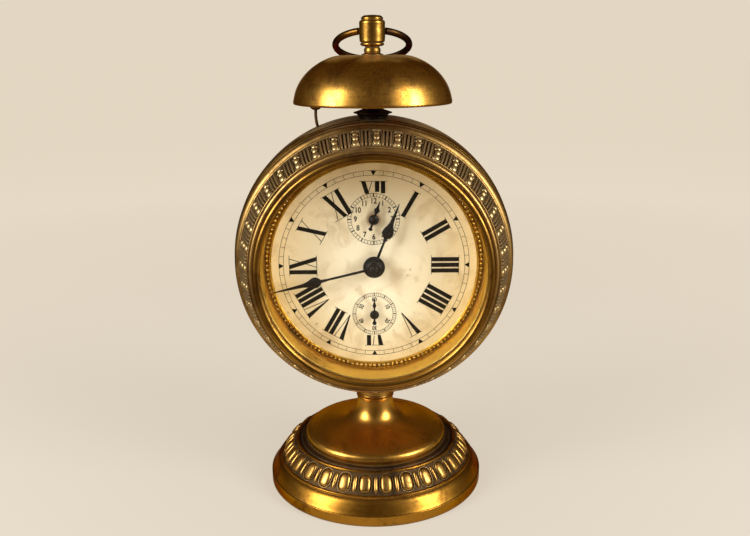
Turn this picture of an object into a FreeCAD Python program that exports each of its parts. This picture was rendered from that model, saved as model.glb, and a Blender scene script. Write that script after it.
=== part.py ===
import FreeCAD, Part
import math
import os
import Sketcher

# A brass alarm clock on a round pedestal: a flared drum case with a recessed dial, two small
# dials on it (alarm above, seconds below), a bell on top struck from inside by a hammer, and a
# nut with a lifting ring over the bell. Inside are a time train and an alarm train between two
# round plates.
#
# Frame: millimetres, +Z up, the dial faces -Y. The origin is the middle of the foot, on the
# surface that the clock stands on. Y is the axis of the drum and of every arbor, and a place
# "across, above" is measured from the centre of the dial.

doc = FreeCAD.newDocument("pedestal_alarm_clock")
sheet = doc.addObject("Spreadsheet::Sheet", "sizes")
Vector = FreeCAD.Vector
nodes = []


# ---------------------------------------------------------------- sizes that know their formula

class Size:
    """A number together with the sheet formula that gives it."""

    def __init__(self, number, formula):
        self.number = float(number)
        self.formula = formula

    def __add__(self, other):
        other = as_size(other)
        return Size(self.number + other.number, f"({self.formula} + {other.formula})")

    def __sub__(self, other):
        other = as_size(other)
        return Size(self.number - other.number, f"({self.formula} - {other.formula})")

    def __mul__(self, other):
        other = as_size(other)
        return Size(self.number * other.number, f"({self.formula} * {other.formula})")

    def __truediv__(self, other):
        other = as_size(other)
        return Size(self.number / other.number, f"({self.formula} / {other.formula})")

    def __neg__(self):
        return Size(-self.number, f"(0 - {self.formula})")

    def __radd__(self, other):
        return as_size(other) + self

    def __rsub__(self, other):
        return as_size(other) - self

    def __rmul__(self, other):
        return as_size(other) * self


def as_size(value):
    return value if isinstance(value, Size) else Size(value, f"({float(value)})")


def root(value):
    return Size(math.sqrt(value.number), f"sqrt({value.formula})")


def cosine(degrees):
    degrees = as_size(degrees)
    return Size(math.cos(math.radians(degrees.number)), f"cos({degrees.formula})")


def sine(degrees):
    degrees = as_size(degrees)
    return Size(math.sin(math.radians(degrees.number)), f"sin({degrees.formula})")


def size(name, number):
    """One driving dimension: a row of the sheet with an alias."""
    row = size.row = getattr(size, "row", 0) + 1
    sheet.set(f"A{row}", name)
    sheet.set(f"B{row}", str(number))
    sheet.setAlias(f"B{row}", name)
    return Size(number, f"sizes.{name}")


def bind(item, prop, value):
    """Tie a property to the sheet."""
    item.setExpression(prop, as_size(value).formula)


def polar(centre, distance, degrees):
    """A place at a distance and an angle from another, as (across, above)."""
    return (centre[0] + distance * cosine(degrees), centre[1] + distance * sine(degrees))


# ---------------------------------------------------------------- ways of making a solid

def keep(item, label):
    """Name a finished piece. Its label is the name of its file."""
    item.Label = label
    nodes.append(item)
    return item


def outline_sketch(body, name, role, outline):
    """A closed sketch of lines and arcs. A third number on a point is the height of the arc
    that arrives there over its chord, positive when the arc runs counterclockwise."""
    sketch = body.newObject("Sketcher::SketchObject", name)
    plane = [feature for feature in body.Origin.OriginFeatures if feature.Role == role][0]
    sketch.AttachmentSupport = [(plane, "")]
    sketch.MapMode = "FlatFace"
    corners = [(as_size(point[0]), as_size(point[1])) for point in outline]
    heights = [point[2] if len(point) > 2 else None for point in outline]
    geometry = []
    ends = []
    radii = []
    for index, corner in enumerate(corners):
        following = (index + 1) % len(corners)
        start = Vector(corner[0].number, corner[1].number, 0)
        end = Vector(corners[following][0].number, corners[following][1].number, 0)
        height = heights[following]
        if height is None:
            geometry.append(Part.LineSegment(start, end))
            ends.append((1, 2))
            continue
        height = as_size(height)
        rise = height if height.number > 0 else -height
        across = corners[following][0] - corner[0]
        along = corners[following][1] - corner[1]
        radius = ((across * across + along * along) / 4 + rise * rise) / (2 * rise)
        chord = end - start
        left = Vector(-chord.y, chord.x, 0).normalize()
        if height.number < 0:
            left = left * -1
        centre = (start + end) * 0.5 + left * (radius.number - rise.number)
        if height.number > 0:
            first, last = start, end
        else:
            first, last = end, start
        from_angle = math.atan2(first.y - centre.y, first.x - centre.x)
        to_angle = math.atan2(last.y - centre.y, last.x - centre.x)
        circle = Part.Circle(centre, Vector(0, 0, 1), radius.number)
        geometry.append(Part.ArcOfCircle(circle, from_angle, to_angle))
        ends.append((1, 2) if height.number > 0 else (2, 1))
        radii.append((index, radius))
    sketch.addGeometry(geometry, False)
    constraints = []
    formulas = []
    for index, corner in enumerate(corners):
        following = (index + 1) % len(corners)
        constraints.append(Sketcher.Constraint(
            "Coincident", index, ends[index][1], following, ends[following][0]))
        for kind, place in (("DistanceX", corner[0]), ("DistanceY", corner[1])):
            formulas.append((len(constraints), place))
            constraints.append(Sketcher.Constraint(
                kind, -1, 1, index, ends[index][0], place.number))
    for index, radius in radii:
        formulas.append((len(constraints), radius))
        constraints.append(Sketcher.Constraint("Radius", index, radius.number))
    sketch.addConstraint(constraints)
    for index, place in formulas:
        sketch.setExpression(f"Constraints[{index}]", place.formula)
    return sketch


def turned(name, outline, centre=None):
    """A body of revolution. Without a centre it turns about the stem, and its outline gives
    (radius, height). With a centre (across, above) it turns about an axis along Y, and its
    outline gives (radius, depth)."""
    body = doc.addObject("PartDesign::Body", name)
    role = "XZ_Plane" if centre is None else "XY_Plane"
    sketch = outline_sketch(body, name + "_outline", role, outline)
    revolution = body.newObject("PartDesign::Revolution", name + "_turning")
    revolution.Profile = sketch
    revolution.ReferenceAxis = (sketch, ["V_Axis"])
    revolution.Angle = 360
    body.Tip = revolution
    if centre is not None:
        bind(body, "Placement.Base.x", centre[0])
        bind(body, "Placement.Base.z", dial_height + centre[1])
    return body


def ring_outline(inner, outer, front, back):
    return [(inner, front), (outer, front), (outer, back), (inner, back)]


def arbor_outline(steps, front):
    """A stepped round rod from its front end: steps are (radius, depth that it reaches)."""
    points = [(0, front)]
    depth = front
    for radius, reach in steps:
        points += [(radius, depth), (radius, reach)]
        depth = reach
    return points + [(0, depth)]


def rod(name, radius, centre, front, back):
    """A plain cylinder along Y."""
    cylinder = doc.addObject("Part::Cylinder", name)
    bind(cylinder, "Radius", radius)
    bind(cylinder, "Height", back - front)
    cylinder.Placement = FreeCAD.Placement(Vector(), FreeCAD.Rotation(Vector(1, 0, 0), -90))
    bind(cylinder, "Placement.Base.x", centre[0])
    bind(cylinder, "Placement.Base.y", front)
    bind(cylinder, "Placement.Base.z", dial_height + centre[1])
    return cylinder


def bar(name, centre, front, back, half_width, half_height, degrees=0, offset=0):
    """A box along Y whose middle lies at an offset from the centre, at an angle to +X."""
    box = doc.addObject("Part::Box", name)
    bind(box, "Length", 2 * as_size(half_width))
    bind(box, "Width", back - front)
    bind(box, "Height", 2 * as_size(half_height))
    angle = as_size(degrees)
    turn = FreeCAD.Rotation(Vector(0, 1, 0), -angle.number)
    box.Placement = FreeCAD.Placement(Vector(), turn)
    shift = as_size(offset) - half_width
    lower = as_size(half_height)
    across = centre[0] + shift * cosine(angle) + lower * sine(angle)
    above = centre[1] + shift * sine(angle) - lower * cosine(angle)
    bind(box, "Placement.Base.x", across)
    bind(box, "Placement.Base.y", front)
    bind(box, "Placement.Base.z", dial_height + above)
    return box


def fused(name, *shapes):
    fusion = doc.addObject("Part::MultiFuse", name)
    fusion.Shapes = list(shapes)
    return fusion


def cut(name, base, tool):
    difference = doc.addObject("Part::Cut", name)
    difference.Base = base
    difference.Tool = tool
    return difference


def group(name, pieces):
    """Like fasteners that share one node, as separate solids."""
    compound = doc.addObject("Part::Compound", name)
    compound.Links = pieces
    return compound


def slab(name, points, front, thickness):
    """A flat piece with straight edges, cut from sheet: points are (across, above)."""
    corners = [Vector(as_size(x).number, as_size(front).number, dial_height.number + as_size(z).number)
               for x, z in points]
    plate = doc.addObject("Part::Feature", name + "_edge")
    plate.Shape = Part.Face(Part.makePolygon(corners + corners[:1]))
    extrusion = doc.addObject("Part::Extrusion", name)
    extrusion.Base = plate
    extrusion.DirMode = "Custom"
    extrusion.Dir = Vector(0, 1, 0)
    bind(extrusion, "LengthFwd", thickness)
    return extrusion


# ---------------------------------------------------------------- toothed wheels

PRESSURE_ANGLE = math.radians(30)
TOOTH_SHARE = 0.45          # tooth thickness over pitch, the rest being gap and backlash
ADDENDUM = 0.8              # in modules
DEDENDUM = 1.1


def tooth_points(teeth, module, phase):
    """The outline of a toothed wheel with involute flanks, a tooth at the phase angle."""
    pitch_radius = teeth * module / 2
    base_radius = pitch_radius * math.cos(PRESSURE_ANGLE)
    tip_radius = pitch_radius + ADDENDUM * module
    root_radius = pitch_radius - DEDENDUM * module
    half_tooth = TOOTH_SHARE * math.pi / teeth
    level = math.tan(PRESSURE_ANGLE) - PRESSURE_ANGLE

    def half_angle(radius):
        if radius <= base_radius:
            return half_tooth + level
        turn = math.acos(base_radius / radius)
        return half_tooth + level - (math.tan(turn) - turn)

    flank = [root_radius, max(base_radius, root_radius * 1.001), pitch_radius, tip_radius]
    points = []
    for tooth in range(teeth):
        middle = math.radians(phase) + 2 * math.pi * tooth / teeth
        for radius in flank:
            points.append((radius, middle - half_angle(radius)))
        for radius in reversed(flank):
            points.append((radius, middle + half_angle(radius)))
    return points


def toothed(name, teeth, module, centre, phase, front, thickness):
    """A toothed disc cut from plate or a pinion cut on a rod."""
    points = [(centre[0].number + radius * math.cos(angle), centre[1].number + radius * math.sin(angle))
              for radius, angle in tooth_points(teeth, module.number, phase)]
    return slab(name, points, front, thickness)


def meshed(phase, teeth, direction, other_teeth):
    """The phase of a wheel that meshes with another one which lies in the given direction
    from it: a gap of the one takes a tooth of the other."""
    pitch = 360 / teeth
    share = ((direction - phase) / pitch) % 1
    other_pitch = 360 / other_teeth
    return direction + 180 + share * other_pitch + other_pitch / 2


def mesh_distance(teeth, other_teeth, module):
    return module * ((teeth + other_teeth) / 2)


def windows(name, wheel, centre, distance, radius, front, back, count):
    """The round openings that lighten a wheel."""
    holes = [rod(f"{name}_window_{turn}", radius, polar(centre, distance, 360 / count * turn + 45), front, back)
             for turn in range(count)]
    return cut(name, wheel, fused(name + "_windows", *holes))


def spiral(name, centre, inner, outer, turns, strip, front, width):
    """A strip wound into a flat coil about an axis along Y."""
    steps = int(turns * 10)
    pitch = (outer - inner).number / turns
    sides = []
    for side in (0, strip.number):
        points = []
        for step in range(steps + 1):
            angle = 2 * math.pi * step / 10
            radius = inner.number + side + pitch * step / 10
            points.append(Vector(centre[0].number + radius * math.cos(angle), front.number,
                                 dial_height.number + centre[1].number + radius * math.sin(angle)))
        curve = Part.BSplineCurve()
        curve.interpolate(points)
        sides.append(curve.toShape())
    first, second = sides
    ends = [Part.makeLine(first.valueAt(first.FirstParameter), second.valueAt(second.FirstParameter)),
            Part.makeLine(first.valueAt(first.LastParameter), second.valueAt(second.LastParameter))]
    strip_edge = doc.addObject("Part::Feature", name + "_edge")
    strip_edge.Shape = Part.Face(Part.Wire(Part.__sortEdges__([first, second] + ends)))
    extrusion = doc.addObject("Part::Extrusion", name)
    extrusion.Base = strip_edge
    extrusion.DirMode = "Custom"
    extrusion.Dir = Vector(0, 1, 0)
    bind(extrusion, "LengthFwd", width)
    return extrusion


# ---------------------------------------------------------------- driving dimensions

running = size("running_clearance", 0.05)
fitting = size("fitting_clearance", 0.1)
dial_height = size("dial_height", 104)

# Foot and stem
base_radius = size("base_radius", 49)
base_wall = size("base_wall", 1.5)
lip_height = size("base_lip_height", 4.6)
skirt_height = size("base_skirt_height", 6.2)
band_drop = size("band_slope_in", 4.8)
band_rise = size("band_rise", 5.75)
bead_step = size("base_bead_step", 1)
ledge_width = size("dome_ledge_width", 5.6)
ledge_rise = size("dome_ledge_rise", 1.35)
dome_radius = size("dome_radius", 32.2)
dome_edge = size("dome_edge_height", 3)
dome_wall = size("dome_wall", 1.1)
stem_radius = size("stem_radius", 7.7)
stem_gap = size("stem_gap_under_case", 1.1)
rod_radius = size("stem_rod_radius", 3)
nut_radius = size("stem_nut_radius", 5.5)
nut_height = size("stem_nut_height", 3.4)
disc_thickness = size("base_disc_thickness", 1.5)

# Case
case_radius = size("case_radius", 62.3)
case_bore = case_radius - size("case_ridge_height", 2.3)
case_seam = size("case_seam_depth", -7)
band_back_radius = case_bore - 0.2
band_front_radius = band_back_radius - size("case_band_slope", 7.3)
rim_front = size("case_rim_front", -26.6)
rim_bore = band_front_radius - size("case_rim_width", 2.5)
front_wall = size("case_front_wall", 1.4)
case_back = size("case_back_depth", 21)
flange_bore = case_bore - size("case_flange_width", 5)
flange_thickness = size("case_flange_thickness", 1.2)
bezel_tube = size("bezel_tube_radius", 2.25)
bezel_radius = rim_bore + 1 - bezel_tube
glass_thickness = size("glass_thickness", 1.6)
glass_radius = rim_bore - size("glass_seat_width", 1.6)
reflector_radius = rim_bore - size("reflector_flange_width", 3.4)
reflector_wall = size("reflector_wall", 0.7)
reflector_depth = size("reflector_back_depth", -9.6)
cover_radius = flange_bore + size("back_cover_overlap", 3.5)
cover_thickness = size("back_cover_thickness", 1)
stem_top = dial_height - case_radius - stem_gap

# Dial and hands
dial_front = size("dial_front_depth", -11.7)
dial_radius = reflector_radius - size("bead_groove_width", 2.1)
dial_open_radius = dial_radius - size("dial_lip_width", 0.9)
paper_thickness = size("paper_thickness", 0.2)
dial_plate_thickness = size("dial_plate_thickness", 0.9)
alarm_rise = size("alarm_dial_rise", 20.3)
seconds_drop = size("seconds_dial_drop", 21.9)
hand_thickness = size("hand_thickness", 0.6)
hour_hand_front = size("hour_hand_front", -15.4)
minute_hand_front = size("minute_hand_front", -17.4)
small_hand_front = size("small_hand_front", -13.8)
hour_hand_length = size("hour_hand_length", 28.4)
minute_hand_length = dial_radius - size("minute_hand_gap", 0.6)
seconds_hand_length = size("seconds_hand_length", 8.2)
alarm_hand_length = size("alarm_hand_length", 9.6)
hub_radius = size("hand_hub_radius", 4.7)
small_hub = size("small_hand_hub_radius", 2)
small_tail = size("small_hand_tail", 5)
hour_bulb_at = size("hour_bulb_distance", 17.2)
hour_bulb = size("hour_bulb_radius", 2.3)
minute_bulb_at = size("minute_bulb_distance", 26)
minute_bulb = size("minute_bulb_radius", 2.2)
hand_root = size("hand_root_half_width", 1)
MINUTE_ANGLE = 90 - 256.4
HOUR_ANGLE = 90 - 21.3
ALARM_ANGLE = 90 - 18.8
SECONDS_ANGLE = 90

# Movement plates
plate_radius = size("plate_radius", 45)
plate_thickness = size("plate_thickness", 1.2)
front_plate_front = size("front_plate_depth", -4.6)
plate_gap = size("plate_gap", 18)
pillar_radius = size("pillar_radius", 2.5)
pillar_circle = size("pillar_circle_radius", 41)
PILLAR_ANGLES = (20, 100, 200, 290)
FOOT_ANGLES = (60, 180, 300)
foot_circle = dial_radius - size("dial_foot_margin", 8.5)
pivot_radius = size("pivot_radius", 0.8)
screw_radius = size("screw_radius", 1.2)
screw_head = size("screw_head_radius", 2.4)
screw_head_height = size("screw_head_height", 1.3)
screw_length = size("screw_length", 5)
dial_foot_radius = size("dial_foot_radius", 1.6)
minute_stud_radius = size("minute_stud_radius", 1)

# Wheels
wheel_thickness = size("wheel_thickness", 1)
great_thickness = size("great_wheel_thickness", 1.4)
winding_radius = size("winding_arbor_radius", 2)
spring_radius = size("mainspring_radius", 12)
spring_width = size("mainspring_width", 7)
great_module = size("great_wheel_module", 0.6)
centre_module = size("centre_wheel_module", 0.45)
third_module = size("third_wheel_module", 0.4)
fourth_module = size("fourth_wheel_module", 0.35)
alarm_module = size("alarm_wheel_module", 0.5)
spring_strip = size("mainspring_strip", 0.6)
hairspring_strip = size("hairspring_strip", 0.16)
hairspring_outer = size("hairspring_outer_radius", 5.4)
great_window = size("great_wheel_window_radius", 4.6)
small_window = size("small_wheel_window_radius", 3.2)
SPRING_TURNS = 6
hour_module = alarm_rise / 40

# Bell, post, nut, ring and hammer
bell_radius = size("bell_radius", 33.6)
bell_bottom = dial_height + case_radius + size("bell_gap_over_case", 4.9)
bell_height = size("bell_height", 20.4)
bell_wall = size("bell_wall", 1.2)
bell_flat = size("bell_flat_radius", 7)
stud_radius = size("bell_stud_radius", 2)
post_radius = size("bell_post_radius", 4.6)
post_rim = size("bell_post_rim_radius", 8.2)
finial_radius = size("finial_radius", 5.4)
finial_height = size("finial_height", 16)
ring_rise = size("ring_hole_rise", 9.6)
ring_wire = size("ring_wire_radius", 1.4)
ring_radius = size("ring_radius", 15.6)
RING_LEAN = 22
hammer_depth = size("hammer_depth", 7)
hammer_wire = size("hammer_wire_radius", 0.65)
hammer_head = size("hammer_head_radius", 3.1)
hammer_across = size("hammer_head_across", -24.7)
hammer_rise = size("hammer_head_rise_in_bell", 0.5)
wire_bend_across = size("hammer_wire_bend_across", -23.1)
slot_across = size("hammer_slot_across", -25.4)
slot_half_width = size("hammer_slot_half_width", 3.2)
slot_clearance = size("hammer_slot_clearance", 0.75)

# Pieces at the back
knob_radius = size("time_knob_radius", 6.5)
alarm_knob_radius = size("alarm_knob_radius", 5)
knob_neck = size("knob_neck_radius", 3)
knob_rim = size("knob_rim_height", 3.4)
arbor_overhang = size("arbor_overhang_at_back", 7)
key_hub = size("key_hub_radius", 3.2)
wing_radius = size("key_wing_radius", 5)
wing_eye = size("key_wing_eye_radius", 2)
wing_thickness = size("key_wing_thickness", 1.4)
key_opening = size("key_opening_radius", 4)
stop_pivot = size("alarm_stop_pivot_radius", 1.5)
doc.recompute()

centre = (as_size(0), as_size(0))
alarm_centre = (as_size(0), alarm_rise)
seconds_centre = (as_size(0), -seconds_drop)

# ---------------------------------------------------------------- foot
# A spun and stamped ring: a plain lip, a swelling skirt, a bead, a sloping band for the egg
# ornament and a thin ring inside it. The dome stands on its inner ledge.

skirt_radius = base_radius - 0.5
bead_height = lip_height + skirt_height
band_outer = base_radius - 6.3
band_bottom = bead_height + bead_step
band_inner = band_outer - band_drop
band_top = band_bottom + band_rise
ledge_height = band_top + ledge_rise
ledge_inner = band_inner - ledge_width - 1.3
plinth = turned("plinth", [
    (base_radius, 0),
    (base_radius, lip_height - 0.6),
    (skirt_radius, lip_height, 0.2),
    (band_outer + 1.4, bead_height - 0.3, 0.7),
    (band_outer + 0.4, band_bottom, 0.5),
    (band_outer, band_bottom),
    (band_inner, band_top),
    (band_inner - 0.8, band_top + 0.6),
    (band_inner - 2.6, band_top + 0.9, 0.9),
    (band_inner - 3.2, ledge_height),
    (ledge_inner, ledge_height),
    (ledge_inner, ledge_height - base_wall),
    (band_inner - 1.6, ledge_height - base_wall),
    (band_outer - base_wall, band_bottom - 0.9),
    (band_outer - base_wall, bead_height - 1.2),
    (skirt_radius - base_wall, lip_height - 0.8, -0.5),
    (base_radius - base_wall, 0)])
keep(plinth, "base_plinth")

# The dome and stem are one spinning: a rolled edge, a nearly flat dish and a trumpet neck.
dome_bottom = ledge_height
dome_shoulder = dome_bottom + dome_edge
neck_start = dome_shoulder + 2.1
dome = turned("dome", [
    (dome_radius, dome_bottom),
    (dome_radius, dome_shoulder),
    (dome_radius - 1.8, dome_shoulder + 1.7, 0.55),
    (dome_radius - 10, neck_start + 1.2, 0.15),
    (stem_radius + 0.7, stem_top - 4, -3.2),
    (stem_radius, stem_top - 1.6, -0.1),
    (stem_radius, stem_top, 0.35),
    (stem_radius - dome_wall, stem_top),
    (stem_radius - dome_wall, stem_top - 1.8),
    (stem_radius + 0.7 - dome_wall, stem_top - 4.2, 0.1),
    (dome_radius - 10.3, neck_start + 0.1, 3.2),
    (dome_radius - 2.2, dome_shoulder + 0.5, -0.15),
    (dome_radius - dome_wall, dome_shoulder - 0.6, -0.35),
    (dome_radius - dome_wall, dome_bottom)])
keep(dome, "base_dome")

# A threaded rod pulls the case, stem, dome and foot together between two nuts. Its lower nut
# bears on a steel disc under the ledge of the foot.
case_floor = dial_height - case_bore
disc_top = ledge_height - base_wall
disc_bottom = disc_top - disc_thickness
upper_nut_bottom = dial_height - root(case_bore * case_bore - nut_radius * nut_radius)
rod_bottom = disc_bottom - nut_height - 1.2
rod_top = upper_nut_bottom + nut_height + 1
stem_rod = turned("rod", [
    (0, rod_bottom),
    (rod_radius, rod_bottom),
    (rod_radius, rod_top),
    (0, rod_top)])
keep(stem_rod, "stem_rod")
base_disc = turned("disc", ring_outline(rod_radius, ledge_inner + 3.5, disc_bottom, disc_top))
keep(base_disc, "base_clamp_disc")


def hexagon_nut(name, bottom):
    prism = doc.addObject("Part::Prism", name + "_prism")
    prism.Polygon = 6
    bind(prism, "Circumradius", nut_radius)
    bind(prism, "Height", nut_height)
    bore = doc.addObject("Part::Cylinder", name + "_bore")
    bind(bore, "Radius", rod_radius)
    bind(bore, "Height", nut_height)
    nut = cut(name, prism, bore)
    bind(prism, "Placement.Base.z", bottom)
    bind(bore, "Placement.Base.z", bottom)
    return nut


keep(group("nuts", [hexagon_nut("lower_nut", disc_bottom - nut_height),
                    hexagon_nut("upper_nut", upper_nut_bottom)]), "stem_nuts")

# ---------------------------------------------------------------- case
# Two stampings joined at a seam. The front one flares back from the bezel seat and carries the
# ornamented band; the back one is a drum with ridges and an inward flange.

rim_radius = band_front_radius - 1.1
ledge_front = rim_front + 2.6
band_front = rim_front + 0.6
band_back = case_seam - 3
front_outer = [
    (rim_radius, rim_front),
    (band_front_radius, band_front),
    (band_back_radius, band_back),
    (band_back_radius + 0.2, case_seam - 2),
    (case_bore + 1.2, case_seam - 0.8, 0.5),
    (case_bore + 1.2, case_seam)]
drum_outer = [
    (case_bore + 1.2, case_seam),
    (case_bore + 1.3, case_seam + 1),
    (case_radius - 0.5, case_seam + 3.4, 0.4),
    (case_radius - 0.8, case_seam + 4.6),
    (case_radius, case_seam + 7.4, 0.3),
    (case_radius, case_back - 8),
    (case_radius - 1, case_back - 3, 0.3),
    (case_radius - 1.7, case_back, 0.4)]
case_front = turned("front_shell", front_outer + [
    (case_bore - 1.2, case_seam),
    (band_back_radius - front_wall, band_back),
    (band_front_radius + 0.1, ledge_front + 1),
    (rim_bore - 1.6, ledge_front + 1),
    (rim_bore - 1.6, ledge_front),
    (rim_bore, ledge_front),
    (rim_bore, rim_front)], centre)
keep(case_front, "case_front")

drum = turned("drum", drum_outer + [
    (flange_bore, case_back),
    (flange_bore, case_back - flange_thickness),
    (case_bore, case_back - flange_thickness),
    (case_bore, case_seam)], centre)
envelope = [(0, rim_front)] + front_outer[:-1] + drum_outer + [(0, case_back)]

rod_hole = doc.addObject("Part::Cylinder", "drum_rod_hole")
bind(rod_hole, "Radius", rod_radius + fitting)
bind(rod_hole, "Height", rod_top)
stud_hole = doc.addObject("Part::Cylinder", "drum_stud_hole")
bind(stud_hole, "Radius", stud_radius + fitting)
bind(stud_hole, "Height", case_radius)
bind(stud_hole, "Placement.Base.z", dial_height + case_bore / 2)
hammer_at = (hammer_across, bell_bottom - dial_height + hammer_rise)
slot_middle = (slot_across, root(case_bore * case_bore - slot_across * slot_across) + 1)
slot_half_depth = hammer_wire + slot_clearance
hammer_slot = bar("drum_hammer_slot", slot_middle, hammer_depth - slot_half_depth, hammer_depth + slot_half_depth,
                  slot_half_width, 4)
keep(cut("drum_shell", drum, fused("drum_holes", rod_hole, stud_hole, hammer_slot)), "case_drum")

# A short collar shaped to the drum carries it on the stem.
collar = turned("collar_blank", ring_outline(
    rod_radius + fitting, stem_radius - 0.3, stem_top, stem_top + 8))
keep(cut("collar", collar, turned("collar_tool", envelope, centre)), "stem_collar")

# ---------------------------------------------------------------- bezel, glass and reflector

bezel_depth = rim_front - 2
skirt_outer = rim_bore - fitting
glass_front = bezel_depth + bezel_tube + 0.05
glass_back = glass_front + glass_thickness
skirt_step = root(bezel_tube * bezel_tube - (skirt_outer - bezel_radius) * (skirt_outer - bezel_radius))
inner_step = root(bezel_tube * bezel_tube - (glass_radius + 0.1 - bezel_radius) * (glass_radius + 0.1 - bezel_radius))
quarter_rise = bezel_tube * 0.293
bezel = turned("bezel_turning_body", [
    (glass_radius + 0.1, glass_back),
    (glass_radius + 0.1, bezel_depth + inner_step),
    (bezel_radius - bezel_tube, bezel_depth, quarter_rise),
    (bezel_radius, bezel_depth - bezel_tube, quarter_rise),
    (bezel_radius + bezel_tube, bezel_depth, quarter_rise),
    (skirt_outer, bezel_depth + skirt_step, bezel_tube * 0.131),
    (skirt_outer, glass_back)], centre)
keep(bezel, "bezel")
keep(turned("glass_disc", ring_outline(0, glass_radius, glass_front, glass_back), centre), "crystal")

flange_back = ledge_front
lip_front = dial_front - 0.6
reflector = turned("reflector_cup", [
    (reflector_radius, glass_back),
    (skirt_outer, glass_back),
    (skirt_outer, flange_back),
    (reflector_radius + reflector_wall, flange_back),
    (reflector_radius + reflector_wall + 0.3, reflector_depth + reflector_wall),
    (reflector_radius - 1.2, reflector_depth + reflector_wall),
    (dial_radius + 0.1, dial_front),
    (dial_open_radius, dial_front),
    (dial_open_radius, lip_front),
    (dial_radius + 0.1, lip_front),
    (reflector_radius - 1, reflector_depth - 0.2),
    (reflector_radius + 0.3, reflector_depth - 0.4, -0.3)], centre)
keep(reflector, "reflector")

# ---------------------------------------------------------------- dial

paper_back = dial_front + paper_thickness
dial_back = paper_back + dial_plate_thickness
pipe_hole = size("dial_centre_hole_radius", 2.8)
small_hole = size("dial_small_hole_radius", 1.3)


def dial_disc(name, radius, front, back):
    disc = rod(name + "_blank", radius, centre, front, back)
    holes = fused(name + "_holes",
                  rod(name + "_pipe_hole", pipe_hole, centre, front, back),
                  rod(name + "_alarm_hole", small_hole, alarm_centre, front, back),
                  rod(name + "_seconds_hole", small_hole, seconds_centre, front, back))
    return cut(name, disc, holes)


keep(dial_disc("paper", dial_radius, dial_front, paper_back), "dial_paper")
keep(dial_disc("zinc", dial_radius, paper_back, dial_back), "dial_plate")
feet = [rod(f"dial_foot_{number}", dial_foot_radius, polar(centre, foot_circle, angle), dial_back, front_plate_front)
        for number, angle in enumerate(FOOT_ANGLES)]
keep(group("feet", feet), "dial_feet")

# ---------------------------------------------------------------- places of the arbors

TEETH = {"great": 72, "centre_pinion": 12, "centre": 64, "third_pinion": 8, "third": 60,
         "fourth_pinion": 8, "fourth": 60, "escape_pinion": 8, "cannon": 12, "minute": 36,
         "minute_pinion": 10, "hour": 40, "alarm": 40, "alarm_great": 60, "verge_pinion": 8}
third_reach = mesh_distance(TEETH["centre"], TEETH["third_pinion"], centre_module)
fourth_reach = mesh_distance(TEETH["third"], TEETH["fourth_pinion"], third_module)
third_above = (fourth_reach * fourth_reach - third_reach * third_reach
               - seconds_drop * seconds_drop) / (2 * seconds_drop)
third_centre = (-root(third_reach * third_reach - third_above * third_above), third_above)
THIRD_DIRECTION = math.degrees(math.atan2(third_centre[1].number, third_centre[0].number))
FOURTH_DIRECTION = math.degrees(math.atan2(seconds_centre[1].number - third_centre[1].number,
                                           -third_centre[0].number))
GREAT_DIRECTION = -29
great_centre = polar(centre, mesh_distance(TEETH["great"], TEETH["centre_pinion"], great_module),
                     GREAT_DIRECTION)
ESCAPE_DIRECTION = 210
escape_centre = polar(seconds_centre, mesh_distance(TEETH["fourth"], TEETH["escape_pinion"], fourth_module),
                      ESCAPE_DIRECTION)
lever_reach = size("lever_reach", 9.3)
lever_centre = polar(escape_centre, lever_reach, 172)
balance_reach = size("balance_reach", 10)
balance_centre = polar(lever_centre, balance_reach, 172)
minute_reach = mesh_distance(TEETH["minute_pinion"], TEETH["hour"], hour_module)
minute_module = minute_reach / ((TEETH["cannon"] + TEETH["minute"]) / 2)
minute_centre = polar(centre, minute_reach, 0)
alarm_spring_centre = (size("alarm_spring_across", -25), size("alarm_spring_above", 12))
VERGE_DIRECTION = 80
verge_reach = mesh_distance(TEETH["alarm_great"], TEETH["verge_pinion"], alarm_module)
verge_centre = polar(alarm_spring_centre, verge_reach, VERGE_DIRECTION)
hammer_centre = polar(verge_centre, size("hammer_arbor_reach", 9.2), 21)

# ---------------------------------------------------------------- plates, pillars and screws

front_plate_back = front_plate_front + plate_thickness
back_plate_front = front_plate_back + plate_gap
back_plate_back = back_plate_front + plate_thickness
cover_front = case_back
cover_back = cover_front + cover_thickness
arbors = [("centre", centre, pivot_radius), ("third", third_centre, pivot_radius),
          ("seconds", seconds_centre, pivot_radius), ("escape", escape_centre, pivot_radius),
          ("lever", lever_centre, pivot_radius), ("balance", balance_centre, pivot_radius),
          ("great", great_centre, winding_radius), ("alarm_spring", alarm_spring_centre, winding_radius),
          ("verge", verge_centre, pivot_radius), ("hammer", hammer_centre, pivot_radius),
          ("alarm", alarm_centre, small_hole - 0.3)]
pillar_places = [polar(centre, pillar_circle, angle) for angle in PILLAR_ANGLES]
neck_radius = pillar_radius - 0.7


def movement_plate(name, front, back, pillar_hole, wide):
    holes = [rod(f"{name}_{arbor}_hole", radius + running, place, front, back)
             for arbor, place, radius in arbors if arbor not in wide]
    holes += [rod(f"{name}_{arbor}_hole", wide[arbor] + running, place, front, back)
              for arbor, place, radius in arbors if arbor in wide]
    holes += [rod(f"{name}_pillar_hole_{number}", pillar_hole, place, front, back)
              for number, place in enumerate(pillar_places)]
    return cut(name, rod(name + "_blank", plate_radius, centre, front, back), fused(name + "_holes", *holes))


minute_stud = rod("minute_stud", minute_stud_radius, minute_centre, front_plate_front - 4.8, front_plate_front)
keep(fused("plate_front_riveted", minute_stud, movement_plate(
    "plate_front", front_plate_front, front_plate_back, screw_radius, {})), "front_plate")
keep(movement_plate("plate_back", back_plate_front, back_plate_back, neck_radius,
                    {"centre": as_size(1.4)}), "back_plate")


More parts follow.
